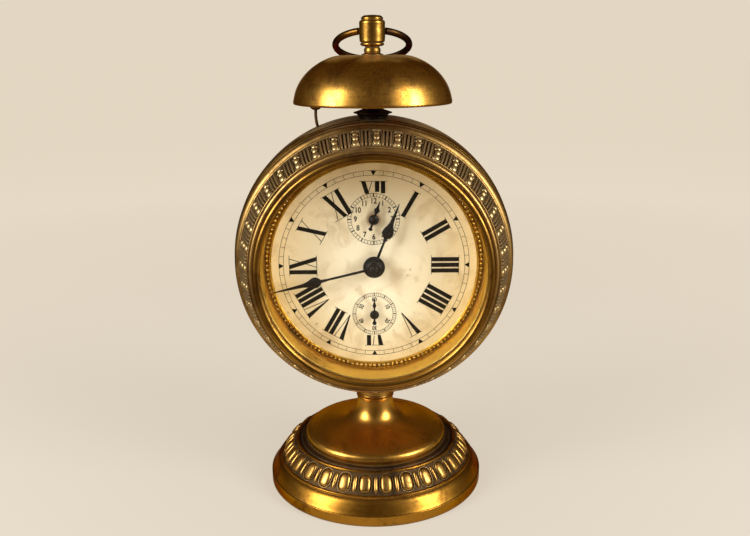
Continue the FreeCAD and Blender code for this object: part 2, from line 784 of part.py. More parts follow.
def pillar(number, place):
    return turned(f"pillar_{number}", [
        (screw_radius, front_plate_back),
        (pillar_radius, front_plate_back),
        (pillar_radius, back_plate_front),
        (neck_radius, back_plate_front),
        (neck_radius, cover_front),
        (screw_radius, cover_front),
        (screw_radius, cover_front - screw_length),
        (0, cover_front - screw_length),
        (0, front_plate_back + screw_length),
        (screw_radius, front_plate_back + screw_length)], place)


def screw(name, place, face, toward):
    """A cheese-head screw whose head bears on a face and whose shank runs toward +Y or -Y."""
    head = face - toward * screw_head_height
    tip = face + toward * screw_length
    return turned(name, [(0, head), (screw_head, head), (screw_head, face), (screw_radius, face),
                         (screw_radius, tip), (0, tip)], place)


keep(group("pillars", [pillar(number, place) for number, place in enumerate(pillar_places)]), "plate_pillars")
keep(group("front_screws", [screw(f"front_screw_{number}", place, front_plate_front, 1)
                            for number, place in enumerate(pillar_places)]), "front_plate_screws")
keep(group("cover_screws", [screw(f"cover_screw_{number}", place, cover_back, -1)
                            for number, place in enumerate(pillar_places)]), "back_cover_screws")

# ---------------------------------------------------------------- time train
# Great wheel, centre wheel, third wheel and fourth wheel, which carries the seconds hand.

great_front = front_plate_back + 6.8
centre_front = front_plate_back + 1
third_front = front_plate_back + 3.8
fourth_front = front_plate_back + 9.4
escape_front = front_plate_back + 12.8
leaf = size("pinion_overhang", 0.4)

centre_phase = 0
great_phase = meshed(0, TEETH["centre_pinion"], GREAT_DIRECTION, TEETH["great"])
third_pinion_phase = meshed(centre_phase, TEETH["centre"], THIRD_DIRECTION, TEETH["third_pinion"])
third_phase = 0
fourth_pinion_phase = meshed(third_phase, TEETH["third"], FOURTH_DIRECTION, TEETH["fourth_pinion"])
fourth_phase = 0
escape_phase = meshed(fourth_phase, TEETH["fourth"], ESCAPE_DIRECTION, TEETH["escape_pinion"])

# Centre arbor: front pivot and pinion; its back end takes the knob that sets the hands.
set_arbor = size("set_arbor_radius", 1.4)
tube_front = minute_hand_front - 1.2
centre_arbor = fused(
    "centre_arbor_pieces",
    turned("centre_arbor_rod", arbor_outline(
        [(pivot_radius, front_plate_back + 0.3), (set_arbor, cover_back + arbor_overhang)],
        tube_front - 1.6), centre),
    toothed("centre_pinion", TEETH["centre_pinion"], great_module, centre, 0, great_front - leaf,
            great_thickness + 2 * leaf))
keep(centre_arbor, "centre_arbor")
centre_blank = toothed("centre_wheel_blank", TEETH["centre"], centre_module, centre, centre_phase,
                       centre_front, wheel_thickness)
centre_bored = cut("centre_wheel_bored", centre_blank,
                   rod("centre_wheel_bore", set_arbor, centre, centre_front, centre_front + wheel_thickness))
keep(windows("centre_wheel_cut", centre_bored, centre, 8, small_window, centre_front,
             centre_front + wheel_thickness, 5), "centre_wheel")


def train_wheel(name, place, teeth, module, phase, front, leaves, leaf_module, leaf_phase, leaf_front,
                leaf_length, arbor_front=None):
    """A wheel, its pinion and its arbor, staked together."""
    arbor = turned(name + "_arbor", arbor_outline([
        (pivot_radius - 0.1, front_plate_back + 0.2),
        (pivot_radius, back_plate_front - 0.2),
        (pivot_radius - 0.1, back_plate_back)],
        front_plate_front if arbor_front is None else arbor_front), place)
    wheel = toothed(name + "_teeth", teeth, module, place, phase, front, wheel_thickness)
    pinion = toothed(name + "_leaves", leaves, leaf_module, place, leaf_phase, leaf_front, leaf_length)
    return fused(name + "_staked", arbor, wheel, pinion)


third = train_wheel("third", third_centre, TEETH["third"], third_module, third_phase, third_front,
                    TEETH["third_pinion"], centre_module, third_pinion_phase, centre_front - leaf,
                    wheel_thickness + 2 * leaf)
keep(third, "third_wheel")
fourth = train_wheel("fourth", seconds_centre, TEETH["fourth"], fourth_module, fourth_phase, fourth_front,
                     TEETH["fourth_pinion"], third_module, fourth_pinion_phase, third_front - leaf,
                     wheel_thickness + 2 * leaf, small_hand_front - 0.5)
keep(fourth, "fourth_wheel")

# Great wheel: loose on the winding arbor, driven by the mainspring behind it.
great_blank = toothed("great_blank", TEETH["great"], great_module, great_centre, great_phase,
                      great_front, great_thickness)
great_bored = cut("great_bored", great_blank, rod("great_bore", winding_radius + running, great_centre,
                                                  great_front, great_front + great_thickness))
keep(windows("great_cut", great_bored, great_centre, 11.5, great_window, great_front,
             great_front + great_thickness, 5), "great_wheel")
spring_front = great_front + great_thickness + 0.8
winding_back = cover_back + arbor_overhang


def winding_arbor(name, place):
    return turned(name, arbor_outline([
        (winding_radius, back_plate_back),
        (winding_radius - 0.1, winding_back)], front_plate_front), place)


def mainspring(name, place):
    return spiral(name, place, winding_radius + 0.5, spring_radius, SPRING_TURNS, spring_strip, spring_front,
                  spring_width)


keep(winding_arbor("time_winding", great_centre), "time_winding_arbor")
keep(mainspring("time_spring", great_centre), "time_mainspring")

# ---------------------------------------------------------------- escapement

SCAPE_TEETH = 15
scape_radius = size("escape_wheel_radius", 6)


def ratchet_points(place, teeth, tip, foot, lean):
    points = []
    for tooth in range(teeth):
        angle = 360 / teeth * tooth
        points.append((place[0].number + tip.number * math.cos(math.radians(angle + lean)),
                       place[1].number + tip.number * math.sin(math.radians(angle + lean))))
        points.append((place[0].number + foot.number * math.cos(math.radians(angle + 360 / teeth * 0.75)),
                       place[1].number + foot.number * math.sin(math.radians(angle + 360 / teeth * 0.75))))
    return points


escape_blank = slab("escape_teeth", ratchet_points(escape_centre, SCAPE_TEETH, scape_radius, scape_radius - 1.6, 14),
                    escape_front, wheel_thickness - 0.2)
escape = fused(
    "escape_staked", escape_blank,
    turned("escape_arbor", arbor_outline([
        (pivot_radius - 0.1, front_plate_back + 0.2),
        (pivot_radius, back_plate_front - 0.2),
        (pivot_radius - 0.1, back_plate_back)], front_plate_front), escape_centre),
    toothed("escape_leaves", TEETH["escape_pinion"], fourth_module, escape_centre, escape_phase,
            fourth_front - leaf, wheel_thickness + 2 * leaf))
keep(escape, "escape_wheel")

# Pallet lever: two arms with pins toward the escape wheel and a fork toward the balance.
arm_length = size("pallet_arm_length", 5.2)
lever_pieces = [
    turned("lever_arbor", arbor_outline([
        (pivot_radius - 0.1, front_plate_back + 0.2),
        (pivot_radius, back_plate_front - 0.2),
        (pivot_radius - 0.1, back_plate_back)], front_plate_front), lever_centre),
    bar("lever_fork", lever_centre, escape_front, escape_front + 0.8, 3.6, 0.6, 172, 3.4)]
for side, angle in (("upper", 172 + 130), ("lower", 172 - 130)):
    lever_pieces.append(bar(f"lever_arm_{side}", lever_centre, escape_front, escape_front + 0.8,
                            arm_length / 2, 0.55, angle, arm_length / 2 - 0.3))
    lever_pieces.append(rod(f"lever_pin_{side}", 0.45, polar(lever_centre, arm_length - 0.6, angle),
                            escape_front - 0.4, escape_front + 1.2))
keep(fused("lever", *lever_pieces), "pallet_lever")

# Balance wheel and its hairspring.
balance_radius = size("balance_radius", 8.2)
balance_front = escape_front + 1.6
rim_tool = rod("balance_rim_bore", balance_radius - 1.2, balance_centre, balance_front, balance_front + 1)
balance_pieces = [
    cut("balance_rim", rod("balance_blank", balance_radius, balance_centre, balance_front, balance_front + 1),
        rim_tool),
    turned("balance_staff", arbor_outline([
        (pivot_radius - 0.2, front_plate_back + 0.2),
        (pivot_radius, balance_front - 1),
        (1.2, balance_front + 2.4),
        (pivot_radius - 0.2, back_plate_back)], front_plate_front), balance_centre)]
for turn in range(3):
    balance_pieces.append(bar(f"balance_spoke_{turn}", balance_centre, balance_front, balance_front + 0.8,
                              (balance_radius - 0.6) / 2, 0.5, 120 * turn + 30, (balance_radius - 0.6) / 2))
keep(fused("balance", *balance_pieces), "balance_wheel")
keep(spiral("balance_spring", balance_centre, as_size(1.4), hairspring_outer, SPRING_TURNS, hairspring_strip,
            balance_front + 1.5, as_size(0.6)), "hairspring")

# ---------------------------------------------------------------- motion work behind the dial
# The cannon pinion turns the minute hand, and the minute wheel steps it down to the hour wheel.

motion_front = front_plate_front - 1.6
hour_front = front_plate_front - 3.6
cannon_phase = 0
minute_phase = meshed(cannon_phase, TEETH["cannon"], 0, TEETH["minute"])
minute_pinion_phase = 0
hour_phase = meshed(minute_pinion_phase, TEETH["minute_pinion"], 180, TEETH["hour"])
alarm_phase = meshed(hour_phase, TEETH["hour"], 90, TEETH["alarm"])
tube_radius = size("cannon_tube_radius", 1.5)
cannon_back = motion_front + wheel_thickness + leaf
pipe_radius = size("hour_pipe_radius", 2.3)

cannon = fused(
    "cannon_solid",
    rod("cannon_tube", tube_radius, centre, tube_front, cannon_back),
    toothed("cannon_leaves", TEETH["cannon"], minute_module, centre, cannon_phase, motion_front - leaf,
            wheel_thickness + 2 * leaf))
cannon_bore = rod("cannon_bore", pivot_radius + running, centre, tube_front, cannon_back)
keep(cut("cannon_bored", cannon, cannon_bore), "cannon_pinion")

minute_solid = fused(
    "minute_solid",
    toothed("minute_teeth", TEETH["minute"], minute_module, minute_centre, minute_phase, motion_front,
            wheel_thickness),
    toothed("minute_leaves", TEETH["minute_pinion"], hour_module, minute_centre, minute_pinion_phase,
            hour_front - leaf, motion_front - hour_front + leaf))
minute_bore = rod("minute_bore", minute_stud_radius + running, minute_centre, hour_front - leaf,
                  motion_front + wheel_thickness)
keep(cut("minute_bored", minute_solid, minute_bore), "minute_wheel")

hour_solid = fused(
    "hour_solid",
    rod("hour_pipe", pipe_radius, centre, hour_hand_front - 0.4, hour_front + wheel_thickness),
    toothed("hour_teeth", TEETH["hour"], hour_module, centre, hour_phase, hour_front, wheel_thickness))
keep(cut("hour_bored", hour_solid, rod("hour_bore", tube_radius + running, centre, hour_hand_front - 0.4,
                                       hour_front + wheel_thickness)), "hour_wheel")

# Alarm release wheel, loose on the alarm arbor, driven by the hour wheel.
alarm_arbor_radius = small_hole - 0.3
alarm_blank = toothed("alarm_teeth", TEETH["alarm"], hour_module, alarm_centre, alarm_phase, hour_front,
                      wheel_thickness)
keep(cut("alarm_bored", alarm_blank, rod("alarm_bore", alarm_arbor_radius + running, alarm_centre, hour_front,
                                         hour_front + wheel_thickness)), "alarm_release_wheel")
keep(turned("alarm_rod", arbor_outline([(alarm_arbor_radius, cover_back + arbor_overhang)], small_hand_front - 0.6),
            alarm_centre), "alarm_arbor")
cam_front = hour_front + wheel_thickness + 0.3
cam_disc = rod("cam_disc", 3.4, alarm_centre, cam_front, cam_front + 1)
cam_step = bar("cam_step", alarm_centre, cam_front, cam_front + 1, 1.4, 0.9, 140, 3.6)
cam_blank = fused("cam_blank", cam_disc, cam_step)
keep(cut("cam", cam_blank, rod("cam_bore", alarm_arbor_radius, alarm_centre, cam_front, cam_front + 1)),
     "alarm_cam")

# ---------------------------------------------------------------- alarm train and hammer

alarm_great_phase = 0
verge_pinion_phase = meshed(alarm_great_phase, TEETH["alarm_great"], VERGE_DIRECTION, TEETH["verge_pinion"])
alarm_great_blank = toothed("alarm_great_blank", TEETH["alarm_great"], alarm_module, alarm_spring_centre,
                            alarm_great_phase, great_front, great_thickness)
alarm_great_bored = cut("alarm_great_bored", alarm_great_blank,
                        rod("alarm_great_bore", winding_radius + running, alarm_spring_centre, great_front,
                            great_front + great_thickness))
keep(windows("alarm_great_cut", alarm_great_bored, alarm_spring_centre, 8.4, small_window, great_front,
             great_front + great_thickness, 5), "alarm_great_wheel")
keep(winding_arbor("alarm_winding", alarm_spring_centre), "alarm_winding_arbor")
keep(mainspring("alarm_spring", alarm_spring_centre), "alarm_mainspring")

verge_radius = size("verge_wheel_radius", 6.2)
verge_front = front_plate_back + 2
verge_wheel = fused(
    "verge_staked",
    slab("verge_teeth", ratchet_points(verge_centre, SCAPE_TEETH, verge_radius, verge_radius - 1.4, 0),
         verge_front, wheel_thickness),
    turned("verge_arbor", arbor_outline([
        (pivot_radius - 0.1, front_plate_back + 0.2),
        (pivot_radius, back_plate_front - 0.2),
        (pivot_radius - 0.1, back_plate_back)], front_plate_front), verge_centre),
    toothed("verge_leaves", TEETH["verge_pinion"], alarm_module, verge_centre, verge_pinion_phase,
            great_front - leaf, great_thickness + 2 * leaf))
keep(verge_wheel, "alarm_verge_wheel")

hammer_hub_front = hammer_depth - 1.2
hammer_arbor = fused(
    "hammer_arbor_pieces",
    turned("hammer_arbor_rod", arbor_outline([
        (pivot_radius - 0.1, front_plate_back + 0.2),
        (pivot_radius, hammer_hub_front),
        (1.8, hammer_depth + 1.2),
        (pivot_radius, back_plate_front - 0.2),
        (pivot_radius - 0.1, back_plate_back)], front_plate_front), hammer_centre),
    bar("hammer_verge", hammer_centre, verge_front, verge_front + 1, 1.9, 0.5, 111))
keep(hammer_arbor, "hammer_arbor")

# The hammer wire leaves its hub, passes through a slot in the drum and bends up to the head.
wire_start = Vector(hammer_centre[0].number - 0.65, hammer_depth.number,
                    dial_height.number + hammer_centre[1].number + 1.75)
wire_bend = Vector(wire_bend_across.number, hammer_depth.number, dial_height.number + case_bore.number - 5)
wire_belly = wire_bend + Vector(-1.5, 0, 5.4)
head_place = Vector(hammer_at[0].number, hammer_depth.number, dial_height.number + hammer_at[1].number)
wire_end = head_place - Vector(0, 0, hammer_head.number - 0.4)
wire_path = Part.Wire([Part.makeLine(wire_start, wire_bend),
                       Part.Arc(wire_bend, wire_belly, wire_end).toShape()])
wire = doc.addObject("Part::Feature", "hammer_wire_solid")
wire_section = Part.Wire(Part.makeCircle(hammer_wire.number, wire_start, wire_bend - wire_start))
wire.Shape = wire_path.makePipeShell([wire_section], True, True, 2)
keep(wire, "hammer_wire")
head_ball = doc.addObject("Part::Sphere", "hammer_ball")
bind(head_ball, "Radius", hammer_head)
bind(head_ball, "Placement.Base.x", hammer_at[0])
bind(head_ball, "Placement.Base.y", hammer_depth)
bind(head_ball, "Placement.Base.z", dial_height + hammer_at[1])
keep(cut("hammer_head_bored", head_ball, wire), "hammer_head")

# ---------------------------------------------------------------- hands

def hand_blade(name, place, front, degrees, length, bulb_at, bulb, hub, bore):
    """A flat hand: hub, tapering blade, a round bulb and a pointed tip."""
    turn = math.radians(degrees)

    def at(along, aside):
        x = along * math.cos(turn) - aside * math.sin(turn)
        z = along * math.sin(turn) + aside * math.cos(turn)
        return (place[0].number + x, place[1].number + z)

    reach = length.number
    wide = hand_root.number
    bulb_reach = bulb_at.number
    neck_reach = bulb_reach + 1.6 * bulb.number
    waist = 0.75 * bulb.number
    blade = slab(name + "_blade", [at(0, -wide), at(bulb_reach, -0.6 * wide), at(bulb_reach, 0.6 * wide),
                                   at(0, wide)], front, hand_thickness)
    tip = slab(name + "_tip", [at(bulb_reach, -waist), at(neck_reach, -0.35), at(reach, -0.12),
                               at(reach, 0.12), at(neck_reach, 0.35), at(bulb_reach, waist)],
               front, hand_thickness)
    disc = rod(name + "_bulb", bulb, polar(place, bulb_at, degrees), front, front + hand_thickness)
    boss = rod(name + "_hub", hub, place, front, front + hand_thickness)
    whole = fused(name + "_solid", blade, tip, disc, boss)
    return cut(name, whole, rod(name + "_bore", bore, place, front, front + hand_thickness))


keep(hand_blade("hour_blade", centre, hour_hand_front, HOUR_ANGLE, hour_hand_length, hour_bulb_at, hour_bulb,
                hub_radius, pipe_radius), "hour_hand")
collet = turned("minute_collet", ring_outline(tube_radius, 2.8, minute_hand_front - 0.7, minute_hand_front),
                centre)
keep(fused("minute_hand_riveted", collet, hand_blade(
    "minute_blade", centre, minute_hand_front, MINUTE_ANGLE, minute_hand_length, minute_bulb_at, minute_bulb,
    hub_radius - 1.2, tube_radius)), "minute_hand")


def small_hand(name, place, degrees, length, bore):
    turn = math.radians(degrees)

    def at(along, aside):
        x = along * math.cos(turn) - aside * math.sin(turn)
        z = along * math.sin(turn) + aside * math.cos(turn)
        return (place[0].number + x, place[1].number + z)

    reach = length.number
    tail = small_tail.number
    blade = slab(name + "_blade", [at(-tail, -0.5), at(0, -0.45), at(reach * 0.4, -0.3), at(reach * 0.55, -0.9),
                                   at(reach, -0.1), at(reach, 0.1), at(reach * 0.55, 0.9), at(reach * 0.4, 0.3),
                                   at(0, 0.45), at(-tail, 0.5)], small_hand_front, hand_thickness)
    hub = rod(name + "_hub", small_hub, place, small_hand_front, small_hand_front + hand_thickness)
    return cut(name, fused(name + "_solid", blade, hub),
               rod(name + "_bore", bore, place, small_hand_front, small_hand_front + hand_thickness))


keep(small_hand("seconds_blade", seconds_centre, SECONDS_ANGLE, seconds_hand_length,
                pivot_radius - 0.1), "seconds_hand")
keep(small_hand("alarm_blade", alarm_centre, ALARM_ANGLE, alarm_hand_length, alarm_arbor_radius),
     "alarm_hand")

# ---------------------------------------------------------------- back cover, knobs, keys, levers

regulator_reach = size("regulator_reach", 12)
stop_centre = (size("alarm_stop_across", 22), size("alarm_stop_above", 33))
cover_holes = [
    rod("cover_time_hole", key_opening, great_centre, cover_front, cover_back),
    rod("cover_alarm_hole", key_opening, alarm_spring_centre, cover_front, cover_back),
    rod("cover_set_hole", set_arbor + 0.5, centre, cover_front, cover_back),
    rod("cover_alarm_set_hole", alarm_arbor_radius + 0.5, alarm_centre, cover_front, cover_back),
    rod("cover_stop_hole", stop_pivot + running, stop_centre, cover_front, cover_back),
    bar("cover_regulator_slot", balance_centre, cover_front, cover_back, 1.6, 4.8, 250, regulator_reach)]
cover_holes += [rod(f"cover_screw_hole_{number}", screw_radius + fitting, place, cover_front, cover_back)
                for number, place in enumerate(pillar_places)]
keep(cut("cover", rod("cover_blank", cover_radius, centre, cover_front, cover_back),
         fused("cover_cuts", *cover_holes)), "back_cover")


def knurled_points(place, radius, notches, depth):
    points = []
    rim = radius.number
    for notch in range(notches):
        for share, reach in ((0, rim - depth), (0.3, rim), (0.7, rim)):
            angle = 2 * math.pi * (notch + share) / notches
            points.append((place[0].number + reach * math.cos(angle), place[1].number + reach * math.sin(angle)))
    return points


def set_knob(name, place, radius, bore):
    knob_front = cover_back + 1
    knob_back = cover_back + arbor_overhang
    disc = slab(name + "_rim", knurled_points(place, radius, 28, 0.45), cover_back + 3, knob_rim)
    neck = rod(name + "_neck", knob_neck, place, knob_front, knob_back)
    return cut(name, fused(name + "_solid", disc, neck), rod(name + "_bore", bore, place, knob_front, knob_back))


keep(set_knob("time_knob", centre, knob_radius, set_arbor), "time_set_knob")
keep(set_knob("alarm_knob", alarm_centre, alarm_knob_radius, alarm_arbor_radius), "alarm_set_knob")


def winding_key(name, place):
    """A butterfly key on the end of a winding arbor."""
    key_front = cover_back + 2.4
    hub = turned(name + "_hub", [(winding_radius - 0.1, key_front), (key_hub, key_front), (key_hub, key_front + 5.6),
                                 (key_hub - 0.8, key_front + 6.6), (0, key_front + 6.6),
                                 (0, winding_back), (winding_radius - 0.1, winding_back)], place)
    wings = []
    for side in (-1, 1):
        wing = doc.addObject("Part::Cylinder", f"{name}_wing_{side + 1}")
        bind(wing, "Radius", wing_radius)
        bind(wing, "Height", wing_thickness)
        bind(wing, "Placement.Base.x", place[0] + side * (wing_radius + 0.6))
        bind(wing, "Placement.Base.y", key_front + wing_radius + 2.6)
        bind(wing, "Placement.Base.z", dial_height + place[1] - wing_thickness / 2)
        eye = doc.addObject("Part::Cylinder", f"{name}_eye_{side + 1}")
        bind(eye, "Radius", wing_eye)
        bind(eye, "Height", wing_thickness)
        bind(eye, "Placement.Base.x", place[0] + side * (wing_radius + 1.4))
        bind(eye, "Placement.Base.y", key_front + wing_radius + 3)
        bind(eye, "Placement.Base.z", dial_height + place[1] - wing_thickness / 2)
        wings.append(cut(f"{name}_pierced_{side + 1}", wing, eye))
    clear = rod(name + "_clear", winding_radius - 0.1, place, key_front - 0.1, winding_back)
    return fused(name, hub, cut(name + "_wings", fused(name + "_wing_pair", *wings), clear))


keep(winding_key("time_key_solid", great_centre), "time_key")
keep(winding_key("alarm_key_solid", alarm_spring_centre), "alarm_key")

# The regulator is a lever on the back plate at the balance; its tab comes out of the slot.
regulator_front = back_plate_back
regulator = fused(
    "regulator_solid",
    rod("regulator_hub", 3, balance_centre, regulator_front, regulator_front + 0.8),
    bar("regulator_arm", balance_centre, regulator_front, regulator_front + 0.8, regulator_reach / 2, 0.9, 250,
        regulator_reach / 2),
    bar("regulator_tab", balance_centre, regulator_front, cover_back + 1.6, 0.7, 0.6, 250, regulator_reach))
keep(cut("regulator", regulator, rod("regulator_bore", pivot_radius + 0.3, balance_centre, regulator_front,
                                     regulator_front + 0.8)), "regulator_lever")

# The alarm stop is a small lever that turns on a rivet in the back cover.
stop = fused(
    "stop_solid",
    turned("stop_pivot", [(0, cover_front - 1), (2.4, cover_front - 1), (2.4, cover_front - running),
                          (stop_pivot, cover_front - running), (stop_pivot, cover_back + 1.4),
                          (0, cover_back + 1.4)],
           stop_centre),
    bar("stop_arm", stop_centre, cover_back + running, cover_back + 1.2, 5, 1.4, 30, 4.4),
    bar("stop_tab", stop_centre, cover_back + running, cover_back + 4.4, 0.7, 2, 30, 9.4))
keep(stop, "alarm_stop_lever")

# ---------------------------------------------------------------- bell, post, nut and ring

bell_top = bell_bottom + bell_height
bell_shoulder = bell_bottom + 1.3
bell = turned("bell_shell", [
    (bell_radius - bell_wall - 0.2, bell_bottom),
    (bell_radius, bell_bottom, 0.35),
    (bell_radius - 0.2, bell_shoulder, 0.3),
    (bell_radius - 4.1, bell_bottom + bell_height * 0.566, 0.95),
    (bell_radius - 13.8, bell_top - 1.6, 1.1),
    (bell_flat, bell_top, 0.2),
    (stud_radius + running, bell_top),
    (stud_radius + running, bell_top - bell_wall),
    (bell_flat - 1, bell_top - bell_wall),
    (bell_radius - 14, bell_top - 1.6 - bell_wall, -0.2),
    (bell_radius - 4.9 - 0.4, bell_bottom + bell_height * 0.54, -1.05),
    (bell_radius - 0.2 - bell_wall, bell_shoulder + 0.2, -0.9)])
keep(bell, "bell")

post_blank = turned("post_blank", [
    (stud_radius, dial_height + case_bore),
    (post_rim - 2.4, dial_height + case_bore),
    (post_rim - 2.2, dial_height + case_radius + 0.2),
    (post_rim, dial_height + case_radius + 1.5, -0.3),
    (post_rim - 0.2, dial_height + case_radius + 2, 0.15),
    (post_radius, dial_height + case_radius + 3.1),
    (post_radius, bell_bottom + 6),
    (post_radius - 0.8, bell_bottom + 7.5),
    (post_radius - 0.8, bell_top - bell_wall),
    (stud_radius, bell_top - bell_wall)])
keep(cut("post", post_blank, turned("post_tool", envelope, centre)), "bell_post")

stud_bottom = dial_height + case_bore - 5
stud_top = bell_top + 5.6
keep(turned("stud_rod", [(0, stud_bottom), (stud_radius, stud_bottom), (stud_radius, stud_top), (0, stud_top)]),
     "bell_stud")
stud_nut_radius = stud_radius * 2
stud_nut_top = dial_height + root(case_bore * case_bore - stud_nut_radius * stud_nut_radius)
keep(turned("stud_nut", ring_outline(stud_radius, stud_nut_radius, stud_nut_top - 2.6, stud_nut_top)),
     "bell_stud_nut")

nut_base = bell_top
finial_top = nut_base + finial_height
finial_blank = turned("finial_blank", [
    (0, stud_top),
    (stud_radius, stud_top),
    (stud_radius, nut_base),
    (4.4, nut_base),
    (4.2, nut_base + 0.9, 0.3),
    (3, nut_base + 1.5),
    (2.9, nut_base + 3.4, -0.25),
    (finial_radius - 1.3, nut_base + 4.2),
    (finial_radius - 0.3, nut_base + 5.4, 0.15),
    (finial_radius, nut_base + 6, 0.1),
    (finial_radius, finial_top - 2.6),
    (finial_radius - 0.4, finial_top - 2),
    (finial_radius - 1, finial_top - 0.9, 0.25),
    (finial_radius - 2, finial_top - 0.3, 0.1),
    (0, finial_top)])
ring_hinge = nut_base + ring_rise
ring_hole = doc.addObject("Part::Cylinder", "finial_ring_hole")
bind(ring_hole, "Radius", ring_wire + running)
bind(ring_hole, "Height", 4 * finial_radius)
ring_hole.Placement = FreeCAD.Placement(Vector(), FreeCAD.Rotation(Vector(0, 1, 0), 90))
bind(ring_hole, "Placement.Base.x", -(2 * finial_radius))
bind(ring_hole, "Placement.Base.z", ring_hinge)
keep(cut("finial", finial_blank, ring_hole), "finial_nut")

# Lifting ring: a round wire ring with a straight length through the nut. It leans back.
pin_half = finial_radius + 0.3
ring_reach = root(ring_radius * ring_radius - pin_half * pin_half)
torus = doc.addObject("Part::Torus", "ring_torus")
bind(torus, "Radius1", ring_radius)
bind(torus, "Radius2", ring_wire)
lean = FreeCAD.Rotation(Vector(1, 0, 0), -RING_LEAN)
torus.Placement = FreeCAD.Placement(Vector(), lean)
bind(torus, "Placement.Base.y", ring_reach * cosine(RING_LEAN))
bind(torus, "Placement.Base.z", ring_hinge - ring_reach * sine(RING_LEAN))
gap = doc.addObject("Part::Cylinder", "ring_gap")
bind(gap, "Radius", ring_wire + 1.6)
bind(gap, "Height", 2 * pin_half)
gap.Placement = FreeCAD.Placement(Vector(), FreeCAD.Rotation(Vector(0, 1, 0), 90))
bind(gap, "Placement.Base.x", -pin_half)
bind(gap, "Placement.Base.z", ring_hinge)
pin = doc.addObject("Part::Cylinder", "ring_pin")
bind(pin, "Radius", ring_wire - fitting)
bind(pin, "Height", 2 * pin_half + 0.5)
pin.Placement = FreeCAD.Placement(Vector(), FreeCAD.Rotation(Vector(0, 1, 0), 90))
bind(pin, "Placement.Base.x", -(pin_half + 0.25))
bind(pin, "Placement.Base.z", ring_hinge)
keep(fused("ring", cut("ring_open", torus, gap), pin), "lifting_ring")

# ---------------------------------------------------------------- checks and files

doc.recompute()
faults = [f"{item.Label}: {item.State} {item.getStatusString()}" for item in doc.Objects
          if "Invalid" in item.State or "Error" in item.State]
for node in nodes:
    shape = node.Shape
    if shape.isNull() or not shape.isValid() or shape.Volume <= 0:
        faults.append(f"{node.Label}: no valid solid")
if faults:
    raise SystemExit("\n".join(faults))
os.makedirs("parts", exist_ok=True)
for node in nodes:
    node.Shape.exportStep(f"parts/{node.Label}.step")
    print(f"{node.Label}: {len(node.Shape.Solids)} solid(s), {node.Shape.Volume:.2f} mm3")
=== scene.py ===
"""A small brass alarm clock on a round pedestal, under a bell, aged and unlacquered. One unit is one
metre, +Z is up and the dial faces -Y. Shapes are drawn in millimetres and brought to metres when they
are put in place."""

import math

import bmesh
import bpy
from mathutils import Matrix, Vector


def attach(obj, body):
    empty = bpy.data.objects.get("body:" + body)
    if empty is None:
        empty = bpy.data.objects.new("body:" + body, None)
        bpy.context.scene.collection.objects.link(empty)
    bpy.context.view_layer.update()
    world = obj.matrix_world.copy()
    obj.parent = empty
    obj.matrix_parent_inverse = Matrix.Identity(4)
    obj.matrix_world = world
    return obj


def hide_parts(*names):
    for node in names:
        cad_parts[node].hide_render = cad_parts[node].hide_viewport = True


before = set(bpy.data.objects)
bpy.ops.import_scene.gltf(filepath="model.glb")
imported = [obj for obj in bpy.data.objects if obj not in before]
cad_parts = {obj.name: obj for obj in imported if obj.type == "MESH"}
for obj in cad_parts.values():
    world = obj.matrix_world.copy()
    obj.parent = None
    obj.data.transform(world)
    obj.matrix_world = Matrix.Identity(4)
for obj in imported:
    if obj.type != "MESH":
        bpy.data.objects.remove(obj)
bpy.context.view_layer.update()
scene = bpy.context.scene
scene.view_settings.view_transform = "Standard"

# -------- foot ring
# Sheet brass spun over a chuck: an upright lip, a swelling skirt, a round bead and a sloping band.
# The band is stamped with 28 eggs and darts in raised frames, and its ground holds old polish.


def linear(code):
    """An sRGB hex colour as the linear values that a shader takes."""
    shares = [int(code[at:at + 2], 16) / 255 for at in (1, 3, 5)]
    return [share / 12.92 if share <= 0.04045 else ((share + 0.055) / 1.055) ** 2.4 for share in shares] + [1]


def fill(made, sockets):
    """Gives a node's sockets their values and links."""
    for socket, value in sockets.items():
        if isinstance(value, bpy.types.NodeSocket):
            made.id_data.links.new(value, made.inputs[socket])
        else:
            made.inputs[socket].default_value = value


def node(tree, kind, sockets={}, out=0, **settings):
    """Adds one shader node with its settings, values and links, and gives one of its outputs."""
    made = tree.nodes.new("ShaderNode" + kind)
    for setting, value in settings.items():
        setattr(made, setting, value)
    fill(made, sockets)
    return made.outputs[out]


def finish(name):
    """A new material, with its nodes and its surface shader."""
    material = bpy.data.materials.new(name)
    material.use_nodes = True
    return material, material.node_tree, material.node_tree.nodes["Principled BSDF"]


# settings that many nodes have: a range with soft ends, and a first input times the second plus the third
SMOOTH, TIMES_PLUS = {"interpolation_type": "SMOOTHSTEP"}, {"operation": "MULTIPLY_ADD"}


